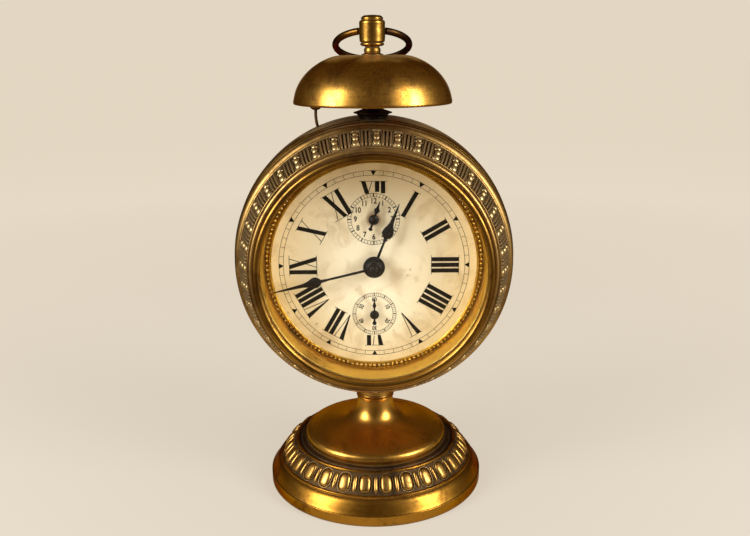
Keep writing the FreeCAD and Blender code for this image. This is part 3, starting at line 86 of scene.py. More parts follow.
def aged_brass(name, bright, dull, oxide="#38271A", tarnish=0.5, rough=0.24, hollow=0.8, rings=0.0,
               axis="Z", height=0.0, pits=0.6, polish_and_shade_colour="#5E5042", settled_dust_and_top_light=0.0, upward=0.95):
    """Old brass, copper with a third of zinc. Handling keeps it bright, tarnish clouds it over areas 15 to
    25 mm wide, and brown oxide sits in small pits. Hollows up to 1.5 mm deep are darkened grey-brown, partly
    by dried polish and partly as painted shade. Dust settles where a piece faces up, from the share of upward
    on, and its pale film is also painted top light. Spun pieces keep the rings of the burnishing tool round
    their axis."""
    material, tree, shader = finish(name)
    place = node(tree, "TexCoord", out="Object")
    clouds = node(tree, "TexNoise", {"Vector": place, "Scale": 45, "Detail": 8, "Roughness": 0.6,
                                     "Distortion": 0.4})
    grain = node(tree, "TexNoise", {"Vector": place, "Scale": 520, "Detail": 4, "Roughness": 0.7})
    cloudy = node(tree, "Math", {0: grain, 1: 0.35, 2: clouds}, **TIMES_PLUS)
    clouded = node(tree, "MapRange", {"Value": cloudy, "From Min": 0.9 - 0.5 * tarnish,
                                      "From Max": 1.16 - 0.5 * tarnish}, **SMOOTH)
    patches = node(tree, "TexNoise", {"Vector": place, "Scale": 28, "Detail": 9, "Roughness": 0.68,
                                      "Distortion": 1.2})
    stained = node(tree, "MapRange", {"Value": patches, "From Min": 0.51, "From Max": 0.67,
                                      "To Max": 1.1 * tarnish}, **SMOOTH)
    cells = node(tree, "TexVoronoi", {"Vector": place, "Scale": 330, "Randomness": 1})
    spot = node(tree, "MapRange", {"Value": cells, "From Min": 0.26, "From Max": 0.10})
    region = node(tree, "TexNoise", {"Vector": place, "Scale": 120, "Detail": 3})
    region = node(tree, "MapRange", {"Value": region, "From Min": 0.55, "From Max": 0.68})
    pit = node(tree, "Math", {0: spot, 1: region}, operation="MULTIPLY")
    pitted = node(tree, "Math", {0: pit, 1: pits}, operation="MULTIPLY", use_clamp=True)
    gloss = node(tree, "MapRange", {"Value": clouded, "To Min": rough, "To Max": rough + 0.14})
    gloss = node(tree, "Math", {0: grain, 1: 0.1, 2: gloss}, **TIMES_PLUS)
    fill(shader, {"Metallic": 1, "Specular Tint": linear("#94784E")})
    stains = [(clouded, dull), (stained, oxide), (pitted, "#26180C")]
    if hollow:
        # painted shade: ambient occlusion darkens hollows towards the colour given and makes them less
        # metallic, for dried polish and for the shade that falls in them
        sky = node(tree, "AmbientOcclusion", {"Distance": 0.0015}, "AO", samples=6)
        dirt_and_painted_light = node(tree, "MapRange", {"Value": sky, "From Min": 0.85, "From Max": 0.4, "To Max": hollow},
                    **SMOOTH)
        if settled_dust_and_top_light:
            # painted top light: upward faces get a pale grey-brown film, settled dust pale enough to stand in
            # for light from above
            facing = node(tree, "SeparateXYZ", {0: node(tree, "TexCoord", out="Normal")}, "Z")
            facing = node(tree, "Math", {0: clouds, 1: 0.3, 2: facing}, **TIMES_PLUS)
            film = node(tree, "MapRange", {"Value": facing, "From Min": upward, "From Max": 1.15,
                                           "To Max": settled_dust_and_top_light}, **SMOOTH)
            stains.append((film, "#A08A6C"))
            gloss = node(tree, "Math", {0: film, 1: 0.25, 2: gloss}, **TIMES_PLUS)
        stains.append((dirt_and_painted_light, polish_and_shade_colour))
        gloss = node(tree, "Math", {0: dirt_and_painted_light, 1: 0.3, 2: gloss}, **TIMES_PLUS)
        if settled_dust_and_top_light:
            dirt_and_painted_light = node(tree, "Math", {0: dirt_and_painted_light, 1: film}, operation="MAXIMUM")
        fill(shader, {"Metallic": node(tree, "MapRange", {"Value": dirt_and_painted_light, "To Min": 1.0, "To Max": 0.2})})
    relief = node(tree, "Math", {0: pit, 1: -1.2, 2: grain}, **TIMES_PLUS)
    if rings:
        # the tool's rings are about 0.1 mm apart, and are drawn 0.4 mm apart to show
        centred = node(tree, "Mapping", {"Vector": place, "Location": (0, 0, -height)})
        parts = node(tree, "SeparateXYZ", {0: centred}).node.outputs
        across, along = parts["X"], parts["Y" if axis == "Z" else "Z"]
        square = node(tree, "Math", {0: across, 1: across}, operation="MULTIPLY")
        square = node(tree, "Math", {0: along, 1: along, 2: square}, **TIMES_PLUS)
        radius = node(tree, "Math", {0: square}, operation="SQRT")
        turn = node(tree, "Math", {0: across, 1: 0.03}, operation="MULTIPLY")
        wound = node(tree, "CombineXYZ", {0: radius, 1: parts[axis], 2: turn})
        lines = node(tree, "TexNoise", {"Vector": wound, "Scale": 2500, "Detail": 2, "Roughness": 0.6})
        relief = node(tree, "Math", {0: lines, 1: rings, 2: relief}, **TIMES_PLUS)
        gloss = node(tree, "Math", {0: lines, 1: 0.08, 2: gloss}, **TIMES_PLUS)
    colour = linear(bright)
    for share, stain in stains:
        colour = node(tree, "Mix", {0: share, 6: colour, 7: linear(stain)}, 2, data_type="RGBA")
    fill(shader, {"Base Color": colour, "Roughness": gloss, "Normal": node(
        tree, "Bump", {"Height": relief, "Strength": 0.35, "Distance": 0.00004})})
    return material


def curve(corners, steps=8):
    """Points along an outline. A corner's third number is the rise of the arc that comes to it, over
    its chord: a positive one bulges to the right of the way it runs."""
    line = [Vector(corners[0][:2])]
    for corner in corners[1:]:
        start, end = line[-1].copy(), Vector(corner[:2])
        if len(corner) > 2:
            chord, rise = end - start, corner[2]
            side = Vector((chord.y, -chord.x)).normalized()
            for step in range(1, steps):
                share = step / steps
                line.append(start + chord * share + side * rise * 4 * share * (1 - share))
        line.append(end)
    return line


def flowing(places, steps=5):
    """Points of a smooth line that passes through the places given."""
    places = [Vector(place) for place in places]
    line = [places[0]]
    for at in range(len(places) - 1):
        first, last = places[at], places[at + 1]
        pull = (last - places[max(at - 1, 0)]) / 2
        push = (places[min(at + 2, len(places) - 1)] - first) / 2
        for step in range(1, steps + 1):
            t = step / steps
            line.append(first * (1 + 2 * t) * (1 - t) ** 2 + last * t * t * (3 - 2 * t)
                        + pull * t * (1 - t) ** 2 - push * t * t * (1 - t))
    return line


def ease(mesh, width, angle=35, segments=2):
    """Rounds the edges that are sharper than the angle a little, as polishing does."""
    sharp = [edge for edge in mesh.edges
             if len(edge.link_faces) == 2 and edge.calc_face_angle() > math.radians(angle)]
    bmesh.ops.bevel(mesh, geom=sharp, offset=width, offset_type="OFFSET", affect="EDGES", segments=segments,
                    profile=0.5, material=-1, clamp_overlap=True)


def turned(line, steps=144, eased=0.15):
    """A spun or turned shape: its closed outline of (radius, height) goes round the Z axis."""
    mesh = bmesh.new()
    rim = [mesh.verts.new((point[0], 0, point[1])) for point in line]
    wire = [mesh.edges.new(pair) for pair in zip(rim, rim[1:] + rim[:1])]
    bmesh.ops.spin(mesh, geom=rim + wire, cent=(0, 0, 0), axis=(0, 0, 1), angle=math.tau, steps=steps,
                   use_merge=True)
    bmesh.ops.remove_doubles(mesh, verts=mesh.verts, dist=0.002)
    bmesh.ops.delete(mesh, geom=[edge for edge in mesh.edges if not edge.link_faces], context="EDGES")
    bmesh.ops.recalc_face_normals(mesh, faces=mesh.faces)
    if eased:
        ease(mesh, eased)
    return mesh


def put(name, mesh, body, materials, place=Matrix(), instead=(), kinds=None):
    """Puts a shape in place in metres, gives it its finish and ties it to its body."""
    mesh.transform(Matrix.Scale(0.001, 4) @ place)
    bmesh.ops.triangulate(mesh, faces=[face for face in mesh.faces if len(face.verts) > 4])
    data = bpy.data.meshes.new(name)
    if kinds:
        mesh.normal_update()
        for face in mesh.faces:
            face.material_index = kinds(face)
    for face in mesh.faces:
        face.smooth = True
    mesh.to_mesh(data)
    mesh.free()
    for material in materials:
        data.materials.append(material)
    data.set_sharp_from_angle(angle=math.radians(50))
    thing = bpy.data.objects.new(name, data)
    scene.collection.objects.link(thing)
    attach(thing, body)
    if instead:
        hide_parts(*instead)
    return thing


def seat(angle, radius, height, tilt):
    """The place of a stamped detail: Z stands off a turned surface whose normal is tilted up from
    level, X runs down the slope and Y runs round it."""
    return (Matrix.Rotation(math.radians(angle), 4, "Z") @ Matrix.Translation((radius, 0, height))
            @ Matrix.Rotation(math.radians(90 - tilt), 4, "Y"))


def swelling(mesh, place, length, width, height, fullness, faces):
    """A raised oval, fuller than half an egg: its exponent squares its outline off."""
    shape = bmesh.ops.create_uvsphere(mesh, u_segments=faces[0], v_segments=faces[1], radius=1)["verts"]
    for vert in shape:
        vert.co = [math.copysign(abs(side) ** fullness, side) * half
                   for side, half in zip(vert.co, (length / 2, width / 2, height))]
    bmesh.ops.transform(mesh, matrix=place, verts=shape)


def raised_line(mesh, place, length, width, line, height):
    """A raised line round a long field with round ends: its section goes round, then is drawn out along X.
    It is widest at its foot, which is sunk in what it stands on."""
    steps, sunk, crest = 24, -0.15, 0.3
    others = set(mesh.verts)
    start = Matrix.Rotation(math.pi / steps, 4, "Z")
    section = [mesh.verts.new(start @ Vector(((width + share * line) / 2, 0, level)))
               for share, level in ((1, sunk), (crest, height), (-crest, height), (-1, sunk))]
    wire = [mesh.edges.new(pair) for pair in zip(section, section[1:])]
    bmesh.ops.spin(mesh, geom=section + wire, cent=(0, 0, 0), axis=(0, 0, 1), angle=math.tau, steps=steps,
                   use_merge=True)
    outline = [vert for vert in mesh.verts if vert not in others]
    for vert in outline:
        vert.co.x += math.copysign((length - width) / 2, vert.co.x)
    faces = list({face for vert in outline for face in vert.link_faces})
    bmesh.ops.recalc_face_normals(mesh, faces=faces)
    bmesh.ops.transform(mesh, matrix=place, verts=outline)


# the lip and the skirt are handled and bright; the ledge inside the band is grey brown
foot_brass = aged_brass("spun_brass_foot", bright="#AA782A", dull="#684516", rough=0.22, rings=0.35)
stamped_brass = aged_brass("stamped_brass_high", bright="#C89A50", dull="#8A6430", tarnish=0.45, rough=0.3,
                           pits=0.5, hollow=0.9, polish_and_shade_colour="#3E3226")
# brass ground between stamped details, where no cloth reaches: oxide and dried polish, nearly matt
ground_brass = aged_brass("stamped_brass_ground", bright="#5C4830", dull="#3C2D1C", oxide="#2A2016",
                          rough=0.5, hollow=0.9, pits=0.3, polish_and_shade_colour="#241B12")
frame_brass = aged_brass("stamped_brass_frames", bright="#A68450", dull="#6C5432", oxide="#33281A",
                         rough=0.42, hollow=0.6, pits=0.3, polish_and_shade_colour="#33281A")
foot = curve([(49, 0), (49, 4.1), (48.5, 4.6, 0.2)]) + flowing(
    [(48.5, 4.6), (47.9, 5.6), (47.0, 7.2), (45.9, 8.9), (45.0, 9.8), (44.35, 10.2)]) + curve(
    [(44.35, 10.2), (44.4, 10.8, 0.05), (43.9, 11.25, 0.2), (43.4, 11.25, 0.05), (43.3, 11.35),
     (37.3, 18.15), (37.05, 18.2), (37.1, 18.7, 0.1), (36.6, 19.1, 0.15), (36.1, 18.85, 0.12), (35.9, 18.4),
     (35.1, 18.2), (34.7, 18.4), (34.5, 18.9), (31, 18.9), (31, 18.0), (35, 17.4), (41.6, 10.9), (43, 9.4),
     (47.4, 3.8, -0.5), (48.0, 0)])
BAND_LOW, BAND_HIGH, LEDGE_LOW, LEDGE_REACH = 0.0113, 0.0183, 0.0181, 0.0360


def foot_ground(face):
    """Whether a face of the foot is ground, in metres: its sloping band, or the ledge inside the band."""
    middle, normal = face.calc_center_median(), face.normal
    band = BAND_LOW < middle.z < BAND_HIGH and normal.z > 0.5 and normal.xy.length > 0.3
    return int(band or middle.z > LEDGE_LOW and middle.xy.length < LEDGE_REACH)


put("foot_ring", turned(foot, steps=192), "case", [foot_brass, ground_brass], instead=["base_plinth"],
    kinds=foot_ground)
EGGS, EGG_SEAT = 28, (40.25, 14.7, 41.4)
EGG, DART, EGG_FRAME = (7.7, 4.85, 1.4), (7.8, 1.8, 1.0), (8.7, 5.85, 0.5, 0.5)
eggs, frames = bmesh.new(), bmesh.new()
for number in range(EGGS):
    turn = 360 * number / EGGS - 90
    middle = seat(turn + 180 / EGGS, *EGG_SEAT)
    swelling(eggs, middle, *EGG, fullness=0.7, faces=(16, 10))
    raised_line(frames, middle, *EGG_FRAME)
    swelling(eggs, seat(turn, *EGG_SEAT), *DART, fullness=0.85, faces=(10, 8))
put("foot_egg_frames", frames, "case", [frame_brass])
put("foot_eggs_and_darts", eggs, "case", [stamped_brass])

# -------- dome and stem
# One brass spinning: a rolled edge that sits on the foot's ledge, a shallow dish and a trumpet neck.
# The burnishing rings still catch the light, and the neck's hollows are darkened by dried polish and painted
# shade.

dome_brass = aged_brass("spun_brass_dome", bright="#CE9A44", dull="#9A6C2A", tarnish=0.45, rings=1.5,
                        hollow=0.7)
dome = flowing([(32.3, 18.9), (32.35, 20.4), (32.25, 21.9), (31.5, 23.1), (29.6, 24.1), (26, 25.1),
                (22.2, 25.8), (18.4, 26.55), (14.8, 27.6), (12.2, 28.9), (10.4, 30.6), (9.2, 32.8),
                (8.5, 35.4), (8.15, 37.8)]) + curve(
    [(8.15, 37.8), (8.0, 38.4), (8.5, 39.0, 0.15), (8.3, 39.7, 0.2), (7.75, 40.0), (7.7, 40.6), (6.7, 40.6),
     (6.9, 36), (7.9, 32.4, -0.1), (10, 29.2, -0.3), (14.4, 26.6, -0.3), (22, 24.7, -0.2), (29.6, 22.8),
     (31.2, 21.4, -0.35), (31.3, 18.9)])
put("dome_and_stem", turned(dome), "case", [dome_brass], instead=["base_dome"])

# The clamping stack under the foot: a threaded rod, two hexagon nuts and a disc of mild steel. Steel is
# grey with a brown tinge where its zinc has worn; the disc was punched from sheet.


def bare_steel(name, dull, rough, colour="#8F8C86", share=0.5):
    """Machined steel: grey and even, with a brown bloom of old rust in patches about 5 mm wide, and fine
    grain from the tool or the rolling, drawn 0.5 mm wide to show."""
    material, tree, shader = finish(name)
    place = node(tree, "TexCoord", out="Object")
    patches = node(tree, "TexNoise", {"Vector": place, "Scale": 190, "Detail": 6, "Roughness": 0.65})
    grain = node(tree, "TexNoise", {"Vector": place, "Scale": 1900, "Detail": 2})
    bloom = node(tree, "MapRange", {"Value": patches, "From Min": 0.72 - 0.3 * share,
                                    "From Max": 0.85 - 0.3 * share})
    colour = node(tree, "Mix", {0: bloom, 6: linear(colour), 7: linear(dull)}, 2, data_type="RGBA")
    gloss = node(tree, "MapRange", {"Value": patches, "To Min": rough - 0.08, "To Max": rough + 0.2})
    fill(shader, {"Metallic": 1, "Base Color": colour, "Roughness": gloss, "Normal": node(
        tree, "Bump", {"Height": grain, "Strength": 0.2, "Distance": 0.00003})})
    return material


def finish_nodes(material, *names):
    """Gives CAD nodes that stay their finish."""
    for name in names:
        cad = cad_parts[name]
        cad.data.materials.clear()
        cad.data.materials.append(material)


plain_steel = bare_steel("mild_steel_rod_and_nuts", dull="#4F3A28", rough=0.42)
finish_nodes(plain_steel, "stem_rod", "stem_nuts", "base_clamp_disc")

# -------- case front
# The front half of the case, stamped from sheet brass, flares back from the bezel. Its band carries 40
# round-ended niches, each with a flower and two drops, and three ribs stand between niches.

DIAL_HEIGHT = 104
DRUM = Matrix.Translation((0, 0, DIAL_HEIGHT)) @ Matrix.Rotation(math.radians(-90), 4, "X")
AROUND_DIAL = {"axis": "Y", "height": DIAL_HEIGHT / 1000}
case_brass = aged_brass("stamped_brass_case", bright="#B88E46", dull="#745228", rough=0.2, rings=0.4,
                        hollow=0.85, settled_dust_and_top_light=0.75, **AROUND_DIAL)
front = curve([(50, -26.2), (50.5, -26.8), (52.2, -25.8, 0.42), (52.3, -25.4), (53.0, -25.5, 0.2),
               (52.9, -25.1), (52.5, -25.2), (57.6, -12.9), (57.9, -13.1), (58.5, -12.5, 0.18), (58.4, -12.1),
               (58.5, -11.9), (60.3, -8.1, 0.85), (60.0, -7.5), (59.9, -7), (58.5, -7), (58.3, -10),
               (52.2, -22.6), (48.4, -22.6), (48.4, -23.6), (50, -23.6)])
band_brass = aged_brass("stamped_brass_band", bright="#6A543A", dull="#46362A", oxide="#32281E", rough=0.45,
                        hollow=0.9, pits=0.3, polish_and_shade_colour="#2C2219", settled_dust_and_top_light=0.3)
front_brass = aged_brass("stamped_brass_front", bright="#BE9656", dull="#74542E", rough=0.32, rings=0.4,
                         hollow=0.85, polish_and_shade_colour="#4A3C2C", settled_dust_and_top_light=0.7, **AROUND_DIAL)
BAND_FRONT, BAND_BACK = -0.0254, -0.0127


def front_ground(face):
    """Whether a face of the case front is ground, in metres: its flaring band."""
    return int(BAND_FRONT < face.calc_center_median().y < BAND_BACK and face.normal.y < -0.2
               and face.normal.xz.length > 0.7)


put("case_front_shell", turned(front, steps=216), "case", [front_brass, band_brass], DRUM, ["case_front"],
    kinds=front_ground)
# The strip was stamped flat in 40 repeats of 8.925 degrees and bent round. Its joint has five ribs.
STRIP, REPEAT, BAND_SEAT = range(-1, 39), 8.925, (55.05, -19.05, -22.5)
NICHE, RIB, PETAL = (12.7, 3.9, 0.55, 0.75), (12.9, 1.05, 1.3), (2.4, 0.9, 0.55)
FLOWER_AND_DROPS = ((-4.3, 2.6, 2.4, 0.85), (-0.7, 4.2, 2.7, 1.2), (3.7, 4.5, 3.0, 1.25))
RIBS, JOINT_RIBS = (0.32, 0.5, 0.68), (0.32, 0.5, 0.68, 0.86, 1.02)
ribs, drops = bmesh.new(), bmesh.new()
for number in STRIP:
    turn = 90 - REPEAT * number
    middle = seat(turn, *BAND_SEAT)
    raised_line(ribs, middle, *NICHE)
    for share in JOINT_RIBS if number == STRIP[-1] else RIBS:
        swelling(ribs, seat(turn - REPEAT * share, *BAND_SEAT), *RIB, fullness=0.7, faces=(12, 8))
    for reach, *size in FLOWER_AND_DROPS:
        swelling(drops, middle @ Matrix.Translation((reach, 0, 0)), *size, fullness=0.8, faces=(14, 10))
    for side in (-1, 1):
        leaning = Matrix.Translation((-3.1, 1.0 * side, 0)) @ Matrix.Rotation(0.5 * side, 4, "Z")
        swelling(drops, middle @ leaning, *PETAL, fullness=0.95, faces=(8, 6))
rib_brass = aged_brass("stamped_brass_ribs", bright="#E2C28A", dull="#9E7C4A", oxide="#4E3C28", tarnish=0.3,
                       rough=0.36, hollow=0.75, pits=0.3, polish_and_shade_colour="#32261A", settled_dust_and_top_light=0.3)
drop_brass = aged_brass("stamped_brass_drops", bright="#E8C88C", dull="#BC985A", tarnish=0.05, rough=0.4,
                        pits=0.2, hollow=0.85, polish_and_shade_colour="#33271A")
put("case_front_ribs", ribs, "case", [rib_brass], DRUM)
put("case_front_drops", drops, "case", [drop_brass], DRUM)

# -------- case drum
# The back half of the case: drawn sheet brass, rolled into ridges at the seam and behind it, with an
# inward flange for the cover. A slot is filed through its top for the hammer.

drum = curve([(59.7, -7), (59.9, -6.9), (61.0, -4.3, 0.55), (60.6, -3.9), (60.8, -3.6), (61.5, -1.4, 0.45),
              (61.2, -0.9), (61.4, -0.4), (62.0, 3, 0.1), (62.3, 6, 0.05), (62.3, 13), (61.9, 15.5, 0.15),
              (61.3, 18, 0.15), (60.6, 21, 0.25), (55, 21), (55, 20), (59.9, 20), (59.9, 0), (58.4, -2),
              (58.4, -7)])
shell = put("case_drum_shell", turned(drum, steps=216), "case", [case_brass], DRUM, ["case_drum"])
SLOT_PLACE, SLOT_TILT, SLOT_SIZE = (-0.0254, 0.007, 0.160), math.radians(-25), (0.0062, 0.0029, 0.012)
cutter_shape = bmesh.new()
bmesh.ops.create_cube(cutter_shape, size=1, matrix=Matrix.Translation(SLOT_PLACE)
                      @ Matrix.Rotation(SLOT_TILT, 4, "Y") @ Matrix.Diagonal((*SLOT_SIZE, 1)))
cutter_data = bpy.data.meshes.new("hammer_slot_tool")
cutter_shape.to_mesh(cutter_data)
cutter = bpy.data.objects.new("hammer_slot_tool", cutter_data)
slotting = shell.modifiers.new("hammer_slot", "BOOLEAN")
slotting.object, slotting.operation, slotting.solver = cutter, "DIFFERENCE", "EXACT"
slotted = bpy.data.meshes.new_from_object(shell.evaluated_get(bpy.context.evaluated_depsgraph_get()))
shell.modifiers.clear()
shell.data = slotted
bpy.data.objects.remove(cutter)

# The stem collar is a short brass tube cut to the round of the drum.

finish_nodes(case_brass, "stem_collar")

# -------- bezel and glass
# A tube of brass rolled round the edge of the glass, polished by years of winding and wiping. The glass
# is a flat disc of old soda glass, very clear, which shows only its edge and faint reflections.

bezel_brass = aged_brass("rolled_brass_bezel", bright="#A87C36", dull="#5E401A", rings=0.15, pits=0.45,
                         **AROUND_DIAL)
TUBE, TUBE_REACH, TUBE_FRONT = 1.62, 48.5, -29.0
tube = [Vector((TUBE_REACH + TUBE * math.cos(step), TUBE_FRONT + TUBE * math.sin(step)))
        for step in [math.radians(angle) for angle in range(-200, 62, 12)]]
bezel = tube + curve([(49.4, -27.3), (50.4, -26.3), (50.5, -25.6), (49.9, -25.2), (49.9, -24.7),
                      (48.5, -24.7), (48.5, -26.4), (47.3, -26.6)])
put("bezel_tube", turned(bezel, steps=192), "case", [bezel_brass], DRUM, ["bezel"])

glass, tree, shader = finish("soda_glass_flat")
smears = node(tree, "TexNoise", {"Vector": node(tree, "TexCoord", out="Object"), "Scale": 60, "Detail": 5})
fill(shader, {"Base Color": linear("#FBFCF8"), "IOR": 1.45, "Transmission Weight": 1, "Roughness": node(
    tree, "MapRange", {"Value": smears, "To Min": 0.0, "To Max": 0.05})})
light = node(tree, "LightPath").node.outputs
passing = node(tree, "Math", {0: light["Is Shadow Ray"], 1: light["Is Diffuse Ray"]}, operation="MAXIMUM")
fill(tree.nodes["Material Output"], {"Surface": node(
    tree, "MixShader", {0: passing, 1: shader.outputs[0], 2: node(tree, "BsdfTransparent")})})
finish_nodes(glass, "crystal")

# -------- reflector
# The deep brass wall between glass and dial. It was kept from the air, so it is the brightest brass on
# the clock; a row of small beads is rolled in at its foot, paler still as painted highlight, and stains have
# crept up from the dial.

reflector_brass = aged_brass("drawn_brass_reflector", bright="#EECB70", dull="#CFA44C", oxide="#906A34",
                             tarnish=0.45, rings=0.6, hollow=0.0, pits=0.8, **AROUND_DIAL)
wall = curve([(47.1, -24.7), (49.9, -24.7), (49.9, -24.1), (47.7, -24.1), (47.7, -9.0), (45.4, -9.0),
              (44.9, -11.7), (44.2, -11.7), (44.2, -12.1), (44.5, -12.4, 0.1), (45.1, -12.0, 0.12),
              (45.5, -10.7), (45.8, -10.0), (46.6, -9.7, 0.1), (47.1, -10.4)])
put("reflector_wall", turned(wall, steps=192), "case", [reflector_brass], DRUM, ["reflector"])
BEADS, BEAD, BEAD_REACH, BEAD_FRONT = 144, 0.7, 46.25, -10.5
beads = bmesh.new()
for number in range(BEADS):
    bead = bmesh.ops.create_uvsphere(beads, u_segments=8, v_segments=5, radius=BEAD)["verts"]
    bmesh.ops.transform(beads, verts=bead, matrix=Matrix.Rotation(math.tau * number / BEADS, 4, "Z")
                        @ Matrix.Translation((BEAD_REACH, 0, BEAD_FRONT)))
# painted highlight: the beads are of the wall's brass, given a paler colour so that they read bright
bead_brass_painted_bright = aged_brass("rolled_brass_beads_painted_highlight", bright="#FBE8B0", dull="#DDB668", oxide="#7E5C2C", tarnish=0.3,
                        rough=0.3, hollow=0.0)
put("reflector_beads", beads, "case", [bead_brass_painted_bright], DRUM)

# -------- dial
# A zinc plate faced with a printed card, held by two brass feet. The card was cream; it has turned buff at the
# rim, its top is darkened by painted shade, and rust and oil have left brown marks.

zinc = bare_steel("rolled_zinc_dial_plate", colour="#A9ABA8", dull="#6E6C66", rough=0.5)
finish_nodes(zinc, "dial_plate")

ALARM, SECONDS, CARD_FRONT = (0, 20.3), (0, -21.9), 0.0116
paper, tree, shader = finish("printed_card_aged")
place = node(tree, "TexCoord", out="Object")
middle = node(tree, "Mapping", {"Vector": place, "Location": (0, 0, -DIAL_HEIGHT / 1000)})
sides = node(tree, "SeparateXYZ", {0: middle}).node.outputs
far = node(tree, "CombineXYZ", {0: sides["X"], 1: sides["Z"]})
far = node(tree, "VectorMath", {0: far}, "Value", operation="LENGTH")
blotches = node(tree, "TexNoise", {"Vector": place, "Scale": 55, "Detail": 7, "Roughness": 0.6,
                                   "Distortion": 0.5})
spread = node(tree, "Math", {0: blotches, 1: 0.022, 2: far}, **TIMES_PLUS)
yellowed = node(tree, "MapRange", {"Value": spread, "From Min": 0.024, "From Max": 0.060}, **SMOOTH)
# painted shade: the card darkens towards its top, as if shaded by the bezel above it
high = node(tree, "Math", {0: blotches, 1: 0.03, 2: sides["Z"]}, **TIMES_PLUS)
painted_top_shade = node(tree, "MapRange", {"Value": high, "From Min": 0.03, "From Max": 0.060, "To Max": 0.2}, **SMOOTH)
# damp has left grey-buff clouds 8 to 12 mm wide
damp = node(tree, "TexNoise", {"Vector": place, "Scale": 78, "Detail": 5, "Roughness": 0.55,
                               "Distortion": 0.8})
cloud = node(tree, "MapRange", {"Value": damp, "From Min": 0.48, "From Max": 0.68, "To Max": 0.5}, **SMOOTH)
marks = node(tree, "TexNoise", {"Vector": place, "Scale": 95, "Detail": 9, "Roughness": 0.72,
                                "Distortion": 1.5})
rust = node(tree, "MapRange", {"Value": marks, "From Min": 0.6, "From Max": 0.74, "To Max": 0.5}, **SMOOTH)
flecks = node(tree, "TexVoronoi", {"Vector": place, "Scale": 210, "Randomness": 1})
fleck = node(tree, "MapRange", {"Value": flecks, "From Min": 0.15, "From Max": 0.06, "To Max": 0.5})
thin = node(tree, "TexNoise", {"Vector": place, "Scale": 75})
thin = node(tree, "MapRange", {"Value": thin, "From Min": 0.52, "From Max": 0.66})
fleck = node(tree, "Math", {0: fleck, 1: thin}, operation="MULTIPLY")
stains = [(yellowed, "#F0DCB4"), (painted_top_shade, "#B08C62"), (cloud, "#CDB184"), (rust, "#A06C34"),
          (fleck, "#7A5226")]
# rust has crept out round the holes of the alarm and seconds arbors, about 4 and 3 mm
for (_, above), reach in ((ALARM, 0.0042), (SECONDS, 0.0026)):
    hole = (0, CARD_FRONT, -(DIAL_HEIGHT + above) / 1000)
    near = node(tree, "Mapping", {"Vector": place, "Location": hole})
    near = node(tree, "VectorMath", {0: near}, "Value", operation="LENGTH")
    near = node(tree, "Math", {0: blotches, 1: 0.004, 2: near}, **TIMES_PLUS)
    crept = node(tree, "MapRange", {"Value": near, "From Min": reach + 0.002, "From Max": reach,
                                    "To Max": 0.7}, **SMOOTH)
    stains.append((crept, "#A87A44"))
colour = linear("#FCF0D4")
for share, stain in stains:
    colour = node(tree, "Mix", {0: share, 6: colour, 7: linear(stain)}, 2, data_type="RGBA")
# card fibre is about 0.05 mm wide and is drawn 0.4 mm wide to show
fibre = node(tree, "TexNoise", {"Vector": place, "Scale": 2600, "Detail": 3})
fill(shader, {"Base Color": colour, "Roughness": 0.62, "Normal": node(
    tree, "Bump", {"Height": fibre, "Strength": 0.12, "Distance": 0.00004})})
finish_nodes(paper, "dial_paper")
finish_nodes(case_brass, "dial_feet")

# The printing on the card: black ink, letterpress. It is matt, and thin where the press was light.

ink, tree, shader = finish("letterpress_ink_black")
place = node(tree, "TexCoord", out="Object")
light_press = node(tree, "TexNoise", {"Vector": place, "Scale": 700, "Detail": 6, "Roughness": 0.7})
thin = node(tree, "MapRange", {"Value": light_press, "From Min": 0.5, "From Max": 0.8, "To Max": 0.4})
black = node(tree, "Mix", {0: thin, 6: linear("#0E0B08"), 7: linear("#32261A")}, 2, data_type="RGBA")
fill(shader, {"Base Color": black, "Roughness": 0.85, "Specular IOR Level": 0.2})
grey_ink = ink.copy()
grey_ink.name = "letterpress_ink_thin"
grey_ink.node_tree.nodes[black.node.name].inputs[6].default_value = linear("#2E261E")


def facing(level):
    """The place of a flat drawing on the dial's axis that faces the front: X across and Y up."""
    return Matrix.Translation((0, level, DIAL_HEIGHT)) @ Matrix.Rotation(math.radians(90), 4, "X")


def clock(hand, centre=(0, 0)):
    """The place on the dial that turns with a clock angle: X across, Y outwards."""
    return Matrix.Translation((*centre, 0)) @ Matrix.Rotation(-math.radians(hand), 4, "Z")


def stroke(mesh, place, foot, top, width, taper=1.0):
    """A printed stroke with level ends, from its foot, which may be narrower, to its top."""
    foot, top = Vector((*foot, 0)), Vector((*top, 0))
    along, middle = (top - foot) / 2, (top + foot) / 2
    slant = Matrix(((width / 2, along.x, 0, middle.x), (0, along.y, 0, middle.y), (0, 0, 1, 0), (0, 0, 0, 1)))
    corners = bmesh.ops.create_grid(mesh, x_segments=1, y_segments=1, size=1)["verts"]
    for corner in corners:
        corner.co.x *= taper if corner.co.y < 0 else 1
    bmesh.ops.transform(mesh, matrix=place @ slant, verts=corners)


def circle_line(mesh, centre, radius, width, steps):
    """A printed circle: a short straight line spun flat round its centre."""
    ends = [mesh.verts.new((centre[0] + radius + side * width / 2, centre[1], 0)) for side in (-1, 1)]
    bmesh.ops.spin(mesh, geom=ends + [mesh.edges.new(ends)], cent=(*centre, 0), axis=(0, 0, 1), angle=math.tau,
                   steps=steps, use_merge=True)


def lettering(mesh, place, words, height, spread):
    """A printed figure, centred on its place, in the plain face that the program carries."""
    text = bpy.data.curves.new("figures", "FONT")
    text.body, text.align_x, text.align_y, text.size = words, "CENTER", "CENTER", height / 0.72
    text.offset = 0.035 * height
    holder = bpy.data.objects.new("figures", text)
    flat = bpy.data.meshes.new_from_object(holder)
    flat.transform(place @ Matrix.Diagonal((spread, 1, 1, 1)))
    mesh.from_mesh(flat)
    bpy.data.objects.remove(holder)
    bpy.data.curves.remove(text)


PRINT_LEVEL, INK_THICKNESS = -11.73, 0.02


